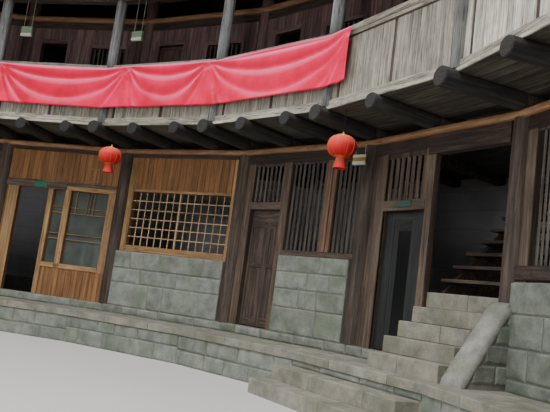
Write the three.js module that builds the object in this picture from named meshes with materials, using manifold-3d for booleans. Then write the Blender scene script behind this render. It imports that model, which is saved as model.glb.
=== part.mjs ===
// Round earth house: two storeys of timber rooms inside a ring wall of rammed earth.
// Lengths are in millimetres. The origin is the ring's centre at courtyard level, +Z is up,
// the gate faces -Y and the stair bay lies opposite it on +Y.
import * as THREE from 'three';
import { mergeVertices } from 'three/addons/utils/BufferGeometryUtils.js';
import Module from 'manifold-3d';

const wasm = await Module();
wasm.setup();

// Plan: bays are counted clockwise from the gate, and posts stand half a bay to each side
const BAYS = 24;
const STEP = (2 * Math.PI) / BAYS;
const HALF_STEP = STEP / 2;
const ROUND_SIDES = 48;
const SECTORS = { gate_side: -4, north_west: 4, north_east: 12 };
const SECTOR_BAYS = 8;
const SECTOR_SHIFT = 0.06;
const GAP = 0.3;
const FAR = 40000;
const TALL = 12000;

// Distances of the straight bay lines from the centre
const WALL_LINE = 10000;
const GALLERY_LINE = 9000;
const TERRACE_LINE = 8950;
const FLOOR_EDGE_LINE = 8960;
const WALL_HALF_BAY = WALL_LINE * Math.tan(HALF_STEP);
const WALL_RING = WALL_LINE / Math.cos(HALF_STEP);
const GALLERY_RING = GALLERY_LINE / Math.cos(HALF_STEP);

// Radii of the round masonry and the roof
const ROOM_RADIUS = 13250;
const UPPER_ROOM_RADIUS = 13400;
const EARTH_FOOT_RADIUS = 14500;
const EARTH_TOP_RADIUS = 14350;
const FOOTING_RADIUS = 14650;
const EAVE_RADIUS = 8300;
const RIDGE_RADIUS = 12000;
const OUTER_EAVE_RADIUS = 15600;

// Levels
const TERRACE_TOP = 540;
const SILL_TOP = 680;
const FOOTING_TOP = 900;
const DADO_TOP = 1680;
const HIGH_DADO_TOP = 1860;
const PIER_TOP = 1430;
const HEADER_BOTTOM = 3440;
const RING_BEAM_BOTTOM = 3520;
const RING_BEAM_TOP = 3610;
const FLOOR_BOTTOM = 3790;
const FLOOR_TOP = 3840;
const HANDRAIL_TOP = 4900;
const UPPER_BEAM_BOTTOM = 6120;
const UPPER_BEAM_TOP = 6220;
const PURLIN_BOTTOM = 6620;
const EAVE_PLATE_BOTTOM = 6120;
const ROOF_SLOPE = 0.5;
const ROOF_THICK = 150;
const ROOF_UNDER_GALLERY = 6300;
const ROOF_UNDER_RIDGE = ROOF_UNDER_GALLERY + (RIDGE_RADIUS - GALLERY_LINE) * ROOF_SLOPE;

// Timber
const POST_RADIUS = 130;
const UPPER_POST_RADIUS = 115;
const GALLERY_POST_RADIUS = 88;
const POST_SIDES = 8;
const LOG_SIDES = 6;
const JOIST_RADIUS = 100;
const MAIN_JOIST_RADIUS = 110;
const JOIST_SPOTS = [0.35, 0.74];
const WIDE_JOIST_SPOTS = [0.46];
const JOIST_START = 8870;
const JOIST_END = UPPER_ROOM_RADIUS * Math.cos(Math.PI / ROUND_SIDES) - 5;
const WALL_THICK = 70;
const BOARD_HALF = WALL_HALF_BAY - POST_RADIUS - GAP;

// Doors: the leaf lies behind its frame and turns on a pole
const LEAF_THICK = 35;
const LEAF_CLEAR = 5;
const LEAF_LAP = 25;
const POLE_RADIUS = LEAF_THICK / 2;
const POLE_OFFSET = 20;
const POLE_SIDES = 12;
const POLE_LINE = WALL_LINE + WALL_THICK / 2 + LEAF_CLEAR + POLE_RADIUS;
const DOOR_C = { left: -1027, right: -340, top: 2590 };
const DOOR_D = { left: -905, right: -105, top: 2555 };
const DOOR_A = { left: -915, right: -240, top: 2715 };
const SOCKET_SIZE = 70;
const JAMB_WIDTH = 149;

// Window holes in the wall line of a bay, across and up
const PANES_A = [{ x0: -137, x1: 128, z0: 1300, z1: 2715 }, { x0: 248, x1: 1040, z0: 1300, z1: 2715 }];
const GLASS_LAP = 30;
const GLASS_THICK = 6;
const LATTICE_B = { x0: -1037, x1: 1128, z0: 1800, z1: 2805 };
const TRANSOM_C = { x0: DOOR_C.left, x1: DOOR_C.right, z0: 2715, z1: 3320 };
const WINDOWS_C = [{ x0: -190, x1: 540, z0: 1950, z1: 3330 }, { x0: 740, x1: 1150, z0: 1950, z1: 3330 }];
const TRANSOM_D = { x0: -905, x1: -158, z0: 2700, z1: 3290 };
const WINDOW_E = { x0: -1035, x1: 1035, z0: 1860, z1: 3330 };
const PLAIN_WINDOW = { x0: -190, x1: 1100, z0: 1950, z1: 3330 };
const UPPER_DOORWAY = { x0: -973, x1: -395, z0: 3940, z1: 5660 };
const UPPER_WINDOW = { x0: 160, x1: 900, z0: 4750, z1: 5600 };
const OUTER_WINDOW = { x0: -260, x1: 260, z0: 4700, z1: 5350 };
const PASSAGE_LEFT = 20;
const PASSAGE_TOP = 3265;

// Sections of the rails and beams, and the overlap of pieces that are joined
const JOIN = 20;
const SILL_FRONT = 120;
const SILL_BACK = 110;
const HEADER_HALF = 40;
const RING_BEAM_FRONT = 110;
const RING_BEAM_BACK = 90;
const UPPER_BEAM_FRONT = 100;
const PURLIN_HALF = 80;
const RAIL_FRONT = 20;
const RAIL_BACK = 60;
const BOARD_SET_BACK = 30;
const TOP_RAIL = 130;
const BOTTOM_RAIL = 90;
const RIDGE_HALF = 130;
const RIDGE_RAISED = 110;

// Bays in the photographed arc, and the stair
const BAY_A = 9;
const BAY_B = 10;
const BAY_C = 11;
const BAY_D = 12;
const BAY_E = 13;
const STAIR_LEFT = 25;
const STAIR_RIGHT = 1150;
const STAIR_START = 9180;
const ALL_RISERS = 17;
const STAIR_RISE = (FLOOR_TOP - TERRACE_TOP) / ALL_RISERS;
const STAIR_RUN = 210;
const STONE_STEPS = 5;
const TREAD_THICK = 40;
const STRINGER_THICK = 55;
const STRINGER_FOOT = 330;
const STRINGER_DEPTH = 320;
const TREAD_NOSE = 20;
const STAIRWELL = { x0: 0, x1: 1200, y0: 10250, y1: 12545 };
const PIER_FRONT = 9800;
const PIER_BACK = 10200;
const PIER_FOOT = 60;

// Steps of stone from the courtyard and at the gate
const STONE_TREADS = 2;
const STONE_RISE = TERRACE_TOP / (STONE_TREADS + 1);
const STONE_RUN = 320;
const STONE_HALF_WIDTH = 1150;
const GATE_STEP_RUN = 230;

// Gate in the earth wall
const GATE_HALF = 850;
const GATE_TOP = 3100;
const GATE_POST = 200;
const GATE_LINTEL = 200;
const GATE_FRAME_DEPTH = 250;
const GATE_FRAME_SET_BACK = 150;
const GATE_LINTEL_BACK = 80;

// Banner, and lanterns whose body is a drum with rounded sides
const CLOTH_THICK = 10;
const CLOTH_TOP = HANDRAIL_TOP - 40;
const CLOTH_HEIGHT = 760;
const CLOTH_LEFT = 0.45;
const CLOTH_BAYS = 3.15;
const LANTERN_SIDES = 12;
const LANTERN_LINE = 9130;
const LANTERN_LEVEL = 3275;
const LANTERN_RADIUS = 200;
const LANTERN_CORE = 70;
const LANTERN_HEIGHT = 290;
const LANTERN_DROP = 300;
const SKIRT_RADIUS = 90;
const CAP_RADIUS = 60;
const CAP_HEIGHT = 20;
const CORD_RADIUS = 4;
const ARC_STEPS = 6;
const ARC_TURN = 1.225;
const LANTERN_SPOTS = { left: BAY_B - 0.396, right: BAY_D - 0.359 };

const stoneGrey = { color: 0x77776c, roughness: 0.95, metalness: 0 };
const earthTan = { color: 0xb08a58, roughness: 1, metalness: 0 };
const newWood = { color: 0x9a6b3a, roughness: 0.7, metalness: 0 };
const oldWood = { color: 0x4a382b, roughness: 0.8, metalness: 0 };
const greyWood = { color: 0x8a8376, roughness: 0.85, metalness: 0 };
const roofTile = { color: 0x54534f, roughness: 0.9, metalness: 0 };
const glassPane = { color: 0x2c3634, roughness: 0.1, metalness: 0 };
const redCloth = { color: 0xd8435c, roughness: 0.8, metalness: 0 };
const lanternRed = { color: 0xc8261f, roughness: 0.6, metalness: 0 };

const house = new THREE.Group();

// Shape helpers

function solid(geometry) {
  const plain = geometry.clone();
  plain.deleteAttribute('normal');
  plain.deleteAttribute('uv');
  const merged = mergeVertices(plain);
  const vertProperties = Float32Array.from(merged.attributes.position.array);
  const triVerts = Uint32Array.from(merged.index.array);
  return new wasm.Manifold(new wasm.Mesh({ numProp: 3, vertProperties, triVerts }));
}

function joined(geometries) {
  return geometries.map(solid).reduce((whole, piece) => whole.add(piece));
}

function geometryOf(body) {
  const mesh = body.getMesh();
  const geometry = new THREE.BufferGeometry();
  geometry.setAttribute('position', new THREE.BufferAttribute(mesh.vertProperties, 3));
  geometry.setIndex(new THREE.BufferAttribute(mesh.triVerts, 1));
  geometry.computeVertexNormals();
  return geometry;
}

function place(name, geometry, finish) {
  const mesh = new THREE.Mesh(geometry, new THREE.MeshStandardMaterial(finish));
  mesh.name = name;
  house.add(mesh);
}

// Turns a shape drawn on the +Y side to its own bay
function atBay(geometry, bay) {
  return geometry.rotateZ(Math.PI - bay * STEP);
}

function box(x0, x1, y0, y1, z0, z1) {
  const geometry = new THREE.BoxGeometry(x1 - x0, y1 - y0, z1 - z0);
  return geometry.translate((x0 + x1) / 2, (y0 + y1) / 2, (z0 + z1) / 2);
}

// A closed ring from an outline of [radius, z] corners, with its corners on the post lines
function ring(outline, sides) {
  const points = [...outline, outline[0]].map(([r, z]) => new THREE.Vector2(r, z));
  return new THREE.LatheGeometry(points, sides, HALF_STEP).rotateX(Math.PI / 2);
}

// The same with straight bays, from distances of the bay lines to the centre
function bayRing(outline) {
  return ring(outline.map(([y, z]) => [y / Math.cos(HALF_STEP), z]), BAYS);
}

function bandOutline(inner, outer, bottom, top) {
  return [[inner, bottom], [outer, bottom], [outer, top], [inner, top]];
}

function flatShape(corners) {
  return new THREE.Shape(corners.map(([u, v]) => new THREE.Vector2(u, v)));
}

// An upright panel in the wall line of a bay, from an outline and its holes in x and z
function panel(corners, holes) {
  const half = WALL_THICK / 2;
  const slab = new THREE.ExtrudeGeometry(flatShape(corners), { depth: WALL_THICK, bevelEnabled: false });
  slab.rotateX(Math.PI / 2).translate(0, WALL_LINE + half, 0);
  const cuts = holes.map(
    ({ x0, x1, z0, z1 }) => box(x0, x1, WALL_LINE - 2 * half, WALL_LINE + 2 * half, z0, z1),
  );
  return geometryOf(solid(slab).subtract(joined(cuts)));
}

// A plate across a bay, from an outline in y and z
function profilePlate(corners, x0, x1) {
  const shape = flatShape(corners);
  const slab = new THREE.ExtrudeGeometry(shape, { depth: x1 - x0, bevelEnabled: false });
  return slab.rotateX(Math.PI / 2).rotateZ(Math.PI / 2).translate(x0, 0, 0);
}

function post(radius, ringRadius, bottom, top, bay, sides = POST_SIDES) {
  const log = new THREE.CylinderGeometry(radius, radius, top - bottom, sides);
  log.rotateX(Math.PI / 2).translate(0, ringRadius, (bottom + top) / 2);
  return atBay(log, bay);
}

// A wedge of the plan between two bay positions, pulled in by half a gap on each side
function wedge(start, end) {
  const middle = (start + end) / 2;
  const half = ((end - start) / 2) * STEP;
  const spot = (radius, bay) => {
    const bearing = bay * STEP;
    return [-radius * Math.sin(bearing), -radius * Math.cos(bearing)];
  };
  const apex = spot(GAP / 2 / Math.sin(half), middle);
  const shape = flatShape([apex, spot(FAR, end), spot(FAR, middle), spot(FAR, start)]);
  const prism = new THREE.ExtrudeGeometry(shape, { depth: TALL, bevelEnabled: false });
  return solid(prism.translate(0, 0, -TALL / 4));
}

function sectorWedge(first) {
  const start = first - 0.5 - SECTOR_SHIFT;
  return wedge(start, start + SECTOR_BAYS);
}

function baysOf(first) {
  return Array.from({ length: SECTOR_BAYS }, (_, i) => first + i);
}

function roofUnder(radius) {
  return ROOF_UNDER_RIDGE - Math.abs(radius - RIDGE_RADIUS) * ROOF_SLOPE;
}

// Outer ring wall of rammed earth on a stone footing

function windowHole(bay) {
  const { x0, x1, z0, z1 } = OUTER_WINDOW;
  return atBay(box(x0, x1, WALL_LINE, FOOTING_RADIUS, z0, z1), bay);
}

function earthRing() {
  const bottom = FOOTING_TOP + GAP;
  const outline = [
    [ROOM_RADIUS, bottom], [EARTH_FOOT_RADIUS, bottom],
    [EARTH_TOP_RADIUS, roofUnder(EARTH_TOP_RADIUS) - GAP],
    [UPPER_ROOM_RADIUS, roofUnder(UPPER_ROOM_RADIUS) - GAP],
    [UPPER_ROOM_RADIUS, RING_BEAM_TOP], [ROOM_RADIUS, RING_BEAM_TOP],
  ];
  return solid(ring(outline, ROUND_SIDES));
}

function earthWall() {
  const whole = earthRing();
  for (const [name, first] of Object.entries(SECTORS)) {
    const odd = baysOf(first).filter((bay) => bay % 2 !== 0);
    const part = whole.intersect(sectorWedge(first)).subtract(joined(odd.map(windowHole)));
    if (name === 'gate_side') earthWallAtGate(part);
    else place(`earth_wall_${name}`, geometryOf(part), earthTan);
  }
}

function earthWallAtGate(part) {
  const east = solid(box(GATE_HALF, FAR, -FAR, 0, 0, TALL));
  const west = solid(box(-FAR, -GATE_HALF, -FAR, 0, 0, TALL));
  const over = solid(box(GAP - GATE_HALF, GATE_HALF - GAP, -FAR, 0, GATE_TOP, TALL));
  place('earth_wall_gate_east', geometryOf(part.intersect(east)), earthTan);
  place('earth_wall_gate_west', geometryOf(part.intersect(west)), earthTan);
  place('earth_wall_over_gate', geometryOf(part.intersect(over)), earthTan);
}

function footing() {
  const whole = solid(ring(bandOutline(ROOM_RADIUS, FOOTING_RADIUS, 0, FOOTING_TOP), ROUND_SIDES));
  const doorway = solid(box(-GATE_HALF, GATE_HALF, -FAR, 0, TERRACE_TOP, TALL));
  for (const [name, first] of Object.entries(SECTORS)) {
    const part = whole.intersect(sectorWedge(first)).subtract(doorway);
    place(`stone_footing_${name}`, geometryOf(part), stoneGrey);
  }
}

function gateFrame() {
  const edge = GATE_HALF - GAP;
  const lintelBottom = GATE_TOP - GATE_LINTEL;
  const front = GATE_FRAME_SET_BACK - EARTH_TOP_RADIUS;
  const back = front + GATE_FRAME_DEPTH;
  const lintelBack = -ROOM_RADIUS - GATE_LINTEL_BACK;
  const pieces = [
    box(-edge, GATE_POST - edge, front, back, TERRACE_TOP + GAP, GATE_TOP - GAP),
    box(edge - GATE_POST, edge, front, back, TERRACE_TOP + GAP, GATE_TOP - GAP),
    box(-edge, edge, front, lintelBack, lintelBottom, GATE_TOP - GAP),
  ];
  place('gate_frame', geometryOf(joined(pieces)), oldWood);
}

function gateSteps() {
  const face = FOOTING_RADIUS + GAP;
  const footingSolid = solid(ring(bandOutline(ROOM_RADIUS, face, -GAP, TALL), ROUND_SIDES));
  const outside = [];
  const inside = [];
  const half = STONE_HALF_WIDTH;
  for (let i = 0; i < STONE_TREADS; i += 1) {
    const left = STONE_TREADS - i;
    const front = FOOTING_RADIUS + GATE_STEP_RUN * left;
    const inner = TERRACE_LINE - STONE_RUN * left;
    const top = STONE_RISE * (i + 1);
    outside.push(box(-half, half, -front, GATE_STEP_RUN - FOOTING_RADIUS, 0, top));
    inside.push(box(-half, half, GAP - TERRACE_LINE, -inner, 0, top));
  }
  place('gate_outer_steps', geometryOf(joined(outside).subtract(footingSolid)), stoneGrey);
  place('gate_inner_steps', geometryOf(joined(inside)), stoneGrey);
}

// Raised stone floor of the rooms with its walk along the courtyard

function drum(sides, radius, bottom, top) {
  const round = new THREE.CylinderGeometry(radius, radius, top - bottom, sides, 1, false, HALF_STEP);
  return solid(round.rotateX(Math.PI / 2).translate(0, 0, (bottom + top) / 2));
}

function bayDrum(line, bottom, top) {
  return drum(BAYS, line / Math.cos(HALF_STEP), bottom, top);
}

function terrace() {
  const full = drum(ROUND_SIDES, ROOM_RADIUS - GAP, 0, TERRACE_TOP);
  const whole = full.subtract(bayDrum(TERRACE_LINE, -TALL, TALL));
  for (const [name, first] of Object.entries(SECTORS)) {
    place(`terrace_${name}`, geometryOf(whole.intersect(sectorWedge(first))), stoneGrey);
  }
}

function courtyardSteps() {
  const half = STONE_HALF_WIDTH;
  for (let i = 0; i < STONE_TREADS; i += 1) {
    const front = TERRACE_LINE - STONE_RUN * (STONE_TREADS - i);
    const bottom = STONE_RISE * i + (i > 0 ? GAP : 0);
    const tread = box(-half, half, front, TERRACE_LINE - GAP, bottom, STONE_RISE * (i + 1));
    place(`courtyard_step_${i + 1}`, tread, stoneGrey);
  }
}

// Stair bay: stone steps, then a timber flight to the upper floor

function stepTop(i) {
  return TERRACE_TOP + STAIR_RISE * (i + 1);
}

function stepFront(i) {
  return STAIR_START + STAIR_RUN * i;
}

function stoneStair() {
  const back = stepFront(STONE_STEPS);
  const blocks = [];
  for (let i = 0; i < STONE_STEPS; i += 1) {
    blocks.push(box(STAIR_LEFT, STAIR_RIGHT, stepFront(i), back, TERRACE_TOP + GAP, stepTop(i)));
  }
  place('stone_stair', geometryOf(joined(blocks)), stoneGrey);
}

function timberStair() {
  const start = stepFront(STONE_STEPS) + GAP;
  const end = stepFront(ALL_RISERS - 1);
  const foot = stepTop(STONE_STEPS - 1) - STAIR_RISE;
  const side = [
    [start, TERRACE_TOP + GAP], [start + STRINGER_FOOT, TERRACE_TOP + GAP],
    [end, FLOOR_TOP - STRINGER_DEPTH], [end, stepTop(ALL_RISERS - 2)],
    [start, foot + STAIR_RISE],
  ];
  const pieces = [
    profilePlate(side, STAIR_LEFT, STAIR_LEFT + STRINGER_THICK),
    profilePlate(side, STAIR_RIGHT - STRINGER_THICK, STAIR_RIGHT),
  ];
  for (let i = STONE_STEPS; i < ALL_RISERS - 1; i += 1) {
    const front = Math.max(stepFront(i) - TREAD_NOSE, start);
    pieces.push(box(STAIR_LEFT, STAIR_RIGHT, front, stepFront(i + 1), stepTop(i) - TREAD_THICK, stepTop(i)));
  }
  place('timber_stair', geometryOf(joined(pieces)), oldWood);
}

function stairPier() {
  const outline = [
    [STAIR_START, TERRACE_TOP + GAP], [PIER_BACK, TERRACE_TOP + GAP], [PIER_BACK, PIER_TOP],
    [PIER_FRONT, PIER_TOP], [STAIR_START, TERRACE_TOP + PIER_FOOT],
  ];
  const pier = profilePlate(outline, BOARD_HALF, BOARD_HALF + 2 * POST_RADIUS);
  place('stair_pier', pier, stoneGrey);
}

// Stone sill course under the timber walls, raised to a dado below the windows

function raisedDado(bay, x0, top) {
  const front = WALL_LINE - SILL_FRONT;
  return atBay(box(x0, BOARD_HALF, front, WALL_LINE + SILL_BACK, SILL_TOP - JOIN, top), bay);
}

function dadoPieces(bays) {
  const pieces = [];
  for (const bay of bays) {
    if (bay === BAY_A || bay === BAY_D || bay === 0) continue;
    if (bay === BAY_B || bay === BAY_E) pieces.push(raisedDado(bay, -BOARD_HALF, DADO_TOP));
    else pieces.push(raisedDado(bay, DOOR_C.right + JAMB_WIDTH + GAP, HIGH_DADO_TOP));
  }
  return joined(pieces);
}

function stoneSills() {
  const front = WALL_LINE - SILL_FRONT;
  const outline = bandOutline(front, WALL_LINE + SILL_BACK, TERRACE_TOP + GAP, SILL_TOP);
  const course = solid(bayRing(outline));
  const stairGap = solid(box(0, BOARD_HALF + 2 * POST_RADIUS + GAP, 0, FAR, 0, TALL));
  const gatePassage = solid(box(-BOARD_HALF, BOARD_HALF, -FAR, 0, 0, TALL));
  const stairEast = wedge(BAY_D, SECTORS.north_east + SECTOR_BAYS - 0.5 - SECTOR_SHIFT);
  const stairWest = wedge(BAY_D - 0.5 - SECTOR_SHIFT, BAY_D);
  const gateWest = wedge(0, SECTORS.north_west - 0.5 - SECTOR_SHIFT);
  const gateEast = wedge(SECTORS.gate_side - 0.5 - SECTOR_SHIFT, 0);
  const west = sectorWedge(SECTORS.north_west);
  const lay = (name, bays, part, cut) => {
    const body = course.add(dadoPieces(bays)).intersect(part);
    place(name, geometryOf(cut ? body.subtract(cut) : body), stoneGrey);
  };
  lay('stone_sill_gate_west', [1, 2, 3], gateWest, gatePassage);
  lay('stone_sill_gate_east', [-5, -4, -3, -2, -1], gateEast, gatePassage);
  lay('stone_sill_north_west', [3, ...baysOf(SECTORS.north_west)], west, null);
  lay('stone_sill_stair_west', [BAY_C], stairWest, stairGap);
  lay('stone_sill_north_east', [13, 14, 15, 16, 17, 18, 19], stairEast, stairGap);
}

// Ground storey: posts, ring beam and boarding

function doorPanel(door, glassSide) {
  const floor = SILL_TOP + GAP;
  return [
    [-BOARD_HALF, floor], [door.left, floor], [door.left, door.top], [door.right, door.top],
    [door.right, floor], ...glassSide,
  ];
}

function closedTop(half, top) {
  return [[half, top], [-half, top]];
}

function plainBay(bay) {
  const floor = SILL_TOP + GAP;
  const dado = HIGH_DADO_TOP + GAP;
  const corners = [
    [-WALL_HALF_BAY, floor], [DOOR_C.left, floor], [DOOR_C.left, DOOR_C.top],
    [DOOR_C.right, DOOR_C.top], [DOOR_C.right, floor], [DOOR_C.right + JAMB_WIDTH, floor],
    [DOOR_C.right + JAMB_WIDTH, dado], [WALL_HALF_BAY, dado],
    ...closedTop(WALL_HALF_BAY, HEADER_BOTTOM + JOIN),
  ];
  return atBay(panel(corners, [PLAIN_WINDOW]), bay);
}

function ringBeamOutline() {
  const front = WALL_LINE - RING_BEAM_FRONT;
  const back = WALL_LINE + RING_BEAM_BACK;
  return [
    [WALL_LINE - HEADER_HALF, HEADER_BOTTOM], [WALL_LINE + HEADER_HALF, HEADER_BOTTOM],
    [WALL_LINE + HEADER_HALF, RING_BEAM_BOTTOM], [back, RING_BEAM_BOTTOM],
    [back, RING_BEAM_TOP], [front, RING_BEAM_TOP],
    [front, RING_BEAM_BOTTOM], [WALL_LINE - HEADER_HALF, RING_BEAM_BOTTOM],
  ];
}

function groundFrame() {
  const shown = [BAY_A, BAY_B, BAY_C, BAY_D, BAY_E, 0];
  const beam = solid(bayRing(ringBeamOutline()));
  for (const [name, first] of Object.entries(SECTORS)) {
    const pieces = [];
    for (const bay of baysOf(first)) {
      const corner = bay - 0.5;
      const foot = corner === BAY_D + 0.5 ? PIER_TOP : SILL_TOP;
      pieces.push(post(POST_RADIUS, WALL_RING, foot + GAP, RING_BEAM_BOTTOM + JOIN, corner));
    }
    const plain = [first - 1, ...baysOf(first)].filter((bay) => !shown.includes(bay));
    pieces.push(...plain.map(plainBay));
    const whole = joined(pieces).add(beam).intersect(sectorWedge(first));
    place(`ground_frame_${name}`, geometryOf(whole), oldWood);
  }
}

function boarding() {
  const top = HEADER_BOTTOM - GAP;
  const floor = SILL_TOP + GAP;
  const dado = DADO_TOP + GAP;
  const upTo = closedTop(BOARD_HALF, top);
  const boardA = doorPanel(DOOR_A, [[BOARD_HALF, floor], ...upTo]);
  place('boarding_a', atBay(panel(boardA, PANES_A), BAY_A), newWood);
  place('glass_a', atBay(glassSheet(), BAY_A), glassPane);

  const boardB = [[-BOARD_HALF, dado], [BOARD_HALF, dado], ...upTo];
  place('boarding_b', atBay(panel(boardB, [LATTICE_B]), BAY_B), newWood);

  const jamb = DOOR_C.right + JAMB_WIDTH;
  const high = HIGH_DADO_TOP + GAP;
  const boardC = doorPanel(DOOR_C, [[jamb, floor], [jamb, high], [BOARD_HALF, high], ...upTo]);
  placeWithSocket('boarding_c', panel(boardC, [TRANSOM_C, ...WINDOWS_C]), DOOR_C, BAY_C);

  const passage = [[PASSAGE_LEFT, floor], [PASSAGE_LEFT, PASSAGE_TOP], [BOARD_HALF, PASSAGE_TOP]];
  const boardD = doorPanel(DOOR_D, [...passage, ...upTo]);
  placeWithSocket('boarding_d', panel(boardD, [TRANSOM_D]), DOOR_D, BAY_D);

  const boardE = [[-BOARD_HALF, dado], [BOARD_HALF, dado], ...upTo];
  place('boarding_e', atBay(panel(boardE, [WINDOW_E]), BAY_E), oldWood);
}

function glassSheet() {
  const [first, last] = PANES_A;
  const front = WALL_LINE + WALL_THICK / 2 + GAP;
  return box(
    first.x0 - GLASS_LAP, last.x1 + GLASS_LAP, front, front + GLASS_THICK,
    first.z0 - GLASS_LAP, first.z1 + GLASS_LAP,
  );
}

// The leaf's pole turns in a block behind the boards
function placeWithSocket(name, board, door, bay) {
  const x = door.left - POLE_OFFSET;
  const bottom = leafTop(door) + LEAF_CLEAR + 1;
  const back = POLE_LINE + SOCKET_SIZE / 2;
  const block = box(x - SOCKET_SIZE / 2, x + SOCKET_SIZE / 2, WALL_LINE, back, bottom, bottom + SOCKET_SIZE);
  place(name, atBay(geometryOf(joined([board, block])), bay), oldWood);
}

function leafTop(door) {
  return door.top + LEAF_LAP;
}

function doorLeaf(name, door, bay) {
  const x = door.left - POLE_OFFSET;
  const bottom = SILL_TOP + LEAF_CLEAR + 1;
  const front = POLE_LINE - POLE_RADIUS;
  const poleBottom = SILL_TOP + GAP;
  const poleTop = leafTop(door) + LEAF_CLEAR + 1 - GAP;
  const pole = new THREE.CylinderGeometry(POLE_RADIUS, POLE_RADIUS, poleTop - poleBottom, POLE_SIDES);
  pole.rotateX(Math.PI / 2).translate(x, POLE_LINE, (poleBottom + poleTop) / 2);
  const leaf = box(x, door.right + LEAF_LAP, front, front + LEAF_THICK, bottom, leafTop(door));
  place(name, atBay(geometryOf(joined([pole, leaf])), bay), oldWood);
}

// Upper storey: floor on round joists, room wall, gallery and parapet

function joist(radius, bay) {
  const length = JOIST_END - JOIST_START;
  const log = new THREE.CylinderGeometry(radius, radius, length, LOG_SIDES);
  log.translate(0, JOIST_START + length / 2, RING_BEAM_TOP + GAP + radius);
  return atBay(log, bay);
}

function joistsOf(bay) {
  const spots = bay === BAY_D || bay === BAY_E ? WIDE_JOIST_SPOTS : JOIST_SPOTS;
  const start = bay - 0.5;
  return [joist(MAIN_JOIST_RADIUS, start), ...spots.map((spot) => joist(JOIST_RADIUS, start + spot))];
}

function upperFloor() {
  const full = drum(ROUND_SIDES, UPPER_ROOM_RADIUS - GAP, FLOOR_BOTTOM, FLOOR_TOP);
  const deck = full.subtract(bayDrum(FLOOR_EDGE_LINE, 0, TALL));
  const { x0, x1, y0, y1 } = STAIRWELL;
  const well = solid(box(x0, x1, y0, y1, RING_BEAM_TOP, FLOOR_TOP + FLOOR_TOP - FLOOR_BOTTOM));
  for (const [name, first] of Object.entries(SECTORS)) {
    const logs = joined(baysOf(first).flatMap(joistsOf));
    const part = deck.intersect(sectorWedge(first)).add(logs).subtract(well);
    place(`upper_floor_${name}`, geometryOf(part), greyWood);
  }
}

function upperBay(bay) {
  const floor = FLOOR_TOP + GAP;
  const corners = [
    [-WALL_HALF_BAY, floor], [WALL_HALF_BAY, floor],
    ...closedTop(WALL_HALF_BAY, UPPER_BEAM_BOTTOM + JOIN),
  ];
  return atBay(panel(corners, [UPPER_DOORWAY, UPPER_WINDOW]), bay);
}

function upperWall() {
  const purlinIn = WALL_LINE - PURLIN_HALF;
  const purlinOut = WALL_LINE + PURLIN_HALF;
  const purlin = [
    [purlinIn, PURLIN_BOTTOM], [purlinOut, PURLIN_BOTTOM],
    [purlinOut, roofUnder(purlinOut) - GAP], [purlinIn, roofUnder(purlinIn) - GAP],
  ];
  const front = WALL_LINE - UPPER_BEAM_FRONT;
  const beam = bandOutline(front, purlinOut, UPPER_BEAM_BOTTOM, UPPER_BEAM_TOP);
  const rings = solid(bayRing(beam)).add(solid(bayRing(purlin)));
  for (const [name, first] of Object.entries(SECTORS)) {
    const pieces = [first - 1, ...baysOf(first)].map(upperBay);
    for (const bay of baysOf(first)) {
      const foot = FLOOR_TOP + GAP;
      const top = PURLIN_BOTTOM + JOIN;
      pieces.push(post(UPPER_POST_RADIUS, WALL_RING, foot, top, bay - 0.5, LOG_SIDES));
    }
    const whole = joined(pieces).add(rings).intersect(sectorWedge(first));
    place(`upper_wall_${name}`, geometryOf(whole), oldWood);
  }
}

function parapetOutline(grow, back) {
  const rail = GALLERY_LINE - RAIL_FRONT - grow;
  const board = rail + BOARD_SET_BACK;
  const under = HANDRAIL_TOP - TOP_RAIL - grow;
  const over = FLOOR_TOP + BOTTOM_RAIL + grow;
  return [
    [rail, FLOOR_TOP + GAP], [back, FLOOR_TOP + GAP], [back, HANDRAIL_TOP + grow],
    [rail, HANDRAIL_TOP + grow], [rail, under], [board, under], [board, over], [rail, over],
  ];
}

function gallery() {
  const parapet = solid(bayRing(parapetOutline(0, GALLERY_LINE + RAIL_BACK)));
  const notch = solid(bayRing(parapetOutline(GAP, GALLERY_LINE + 2 * GALLERY_POST_RADIUS)));
  const plateIn = GALLERY_LINE - PURLIN_HALF;
  const plateOut = GALLERY_LINE + PURLIN_HALF;
  const plate = solid(bayRing([
    [plateIn, EAVE_PLATE_BOTTOM], [plateOut, EAVE_PLATE_BOTTOM],
    [plateOut, roofUnder(plateOut) - GAP], [plateIn, roofUnder(plateIn) - GAP],
  ]));
  for (const [name, first] of Object.entries(SECTORS)) {
    const part = sectorWedge(first);
    const foot = FLOOR_TOP + GAP;
    const posts = baysOf(first).map(
      (bay) => post(GALLERY_POST_RADIUS, GALLERY_RING, foot, EAVE_PLATE_BOTTOM + JOIN, bay - 0.5),
    );
    const stand = joined(posts).subtract(notch).add(plate).intersect(part);
    place(`gallery_posts_${name}`, geometryOf(stand), greyWood);
    place(`parapet_${name}`, geometryOf(parapet.intersect(part)), greyWood);
  }
}

// Ring roof with its ridge over the rooms

function roof() {
  const roofTop = (radius) => roofUnder(radius) + ROOF_THICK;
  const inside = RIDGE_RADIUS - RIDGE_HALF;
  const outside = RIDGE_RADIUS + RIDGE_HALF;
  const ridgeTop = roofTop(RIDGE_RADIUS) + RIDGE_RAISED;
  const outline = [
    [EAVE_RADIUS, roofUnder(EAVE_RADIUS)], [RIDGE_RADIUS, ROOF_UNDER_RIDGE],
    [OUTER_EAVE_RADIUS, roofUnder(OUTER_EAVE_RADIUS)], [OUTER_EAVE_RADIUS, roofTop(OUTER_EAVE_RADIUS)],
    [outside, roofTop(outside)], [outside, ridgeTop], [inside, ridgeTop], [inside, roofTop(inside)],
    [EAVE_RADIUS, roofTop(EAVE_RADIUS)],
  ];
  const whole = solid(ring(outline, ROUND_SIDES));
  for (const [name, first] of Object.entries(SECTORS)) {
    place(`roof_${name}`, geometryOf(whole.intersect(sectorWedge(first))), roofTile);
  }
}

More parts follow.
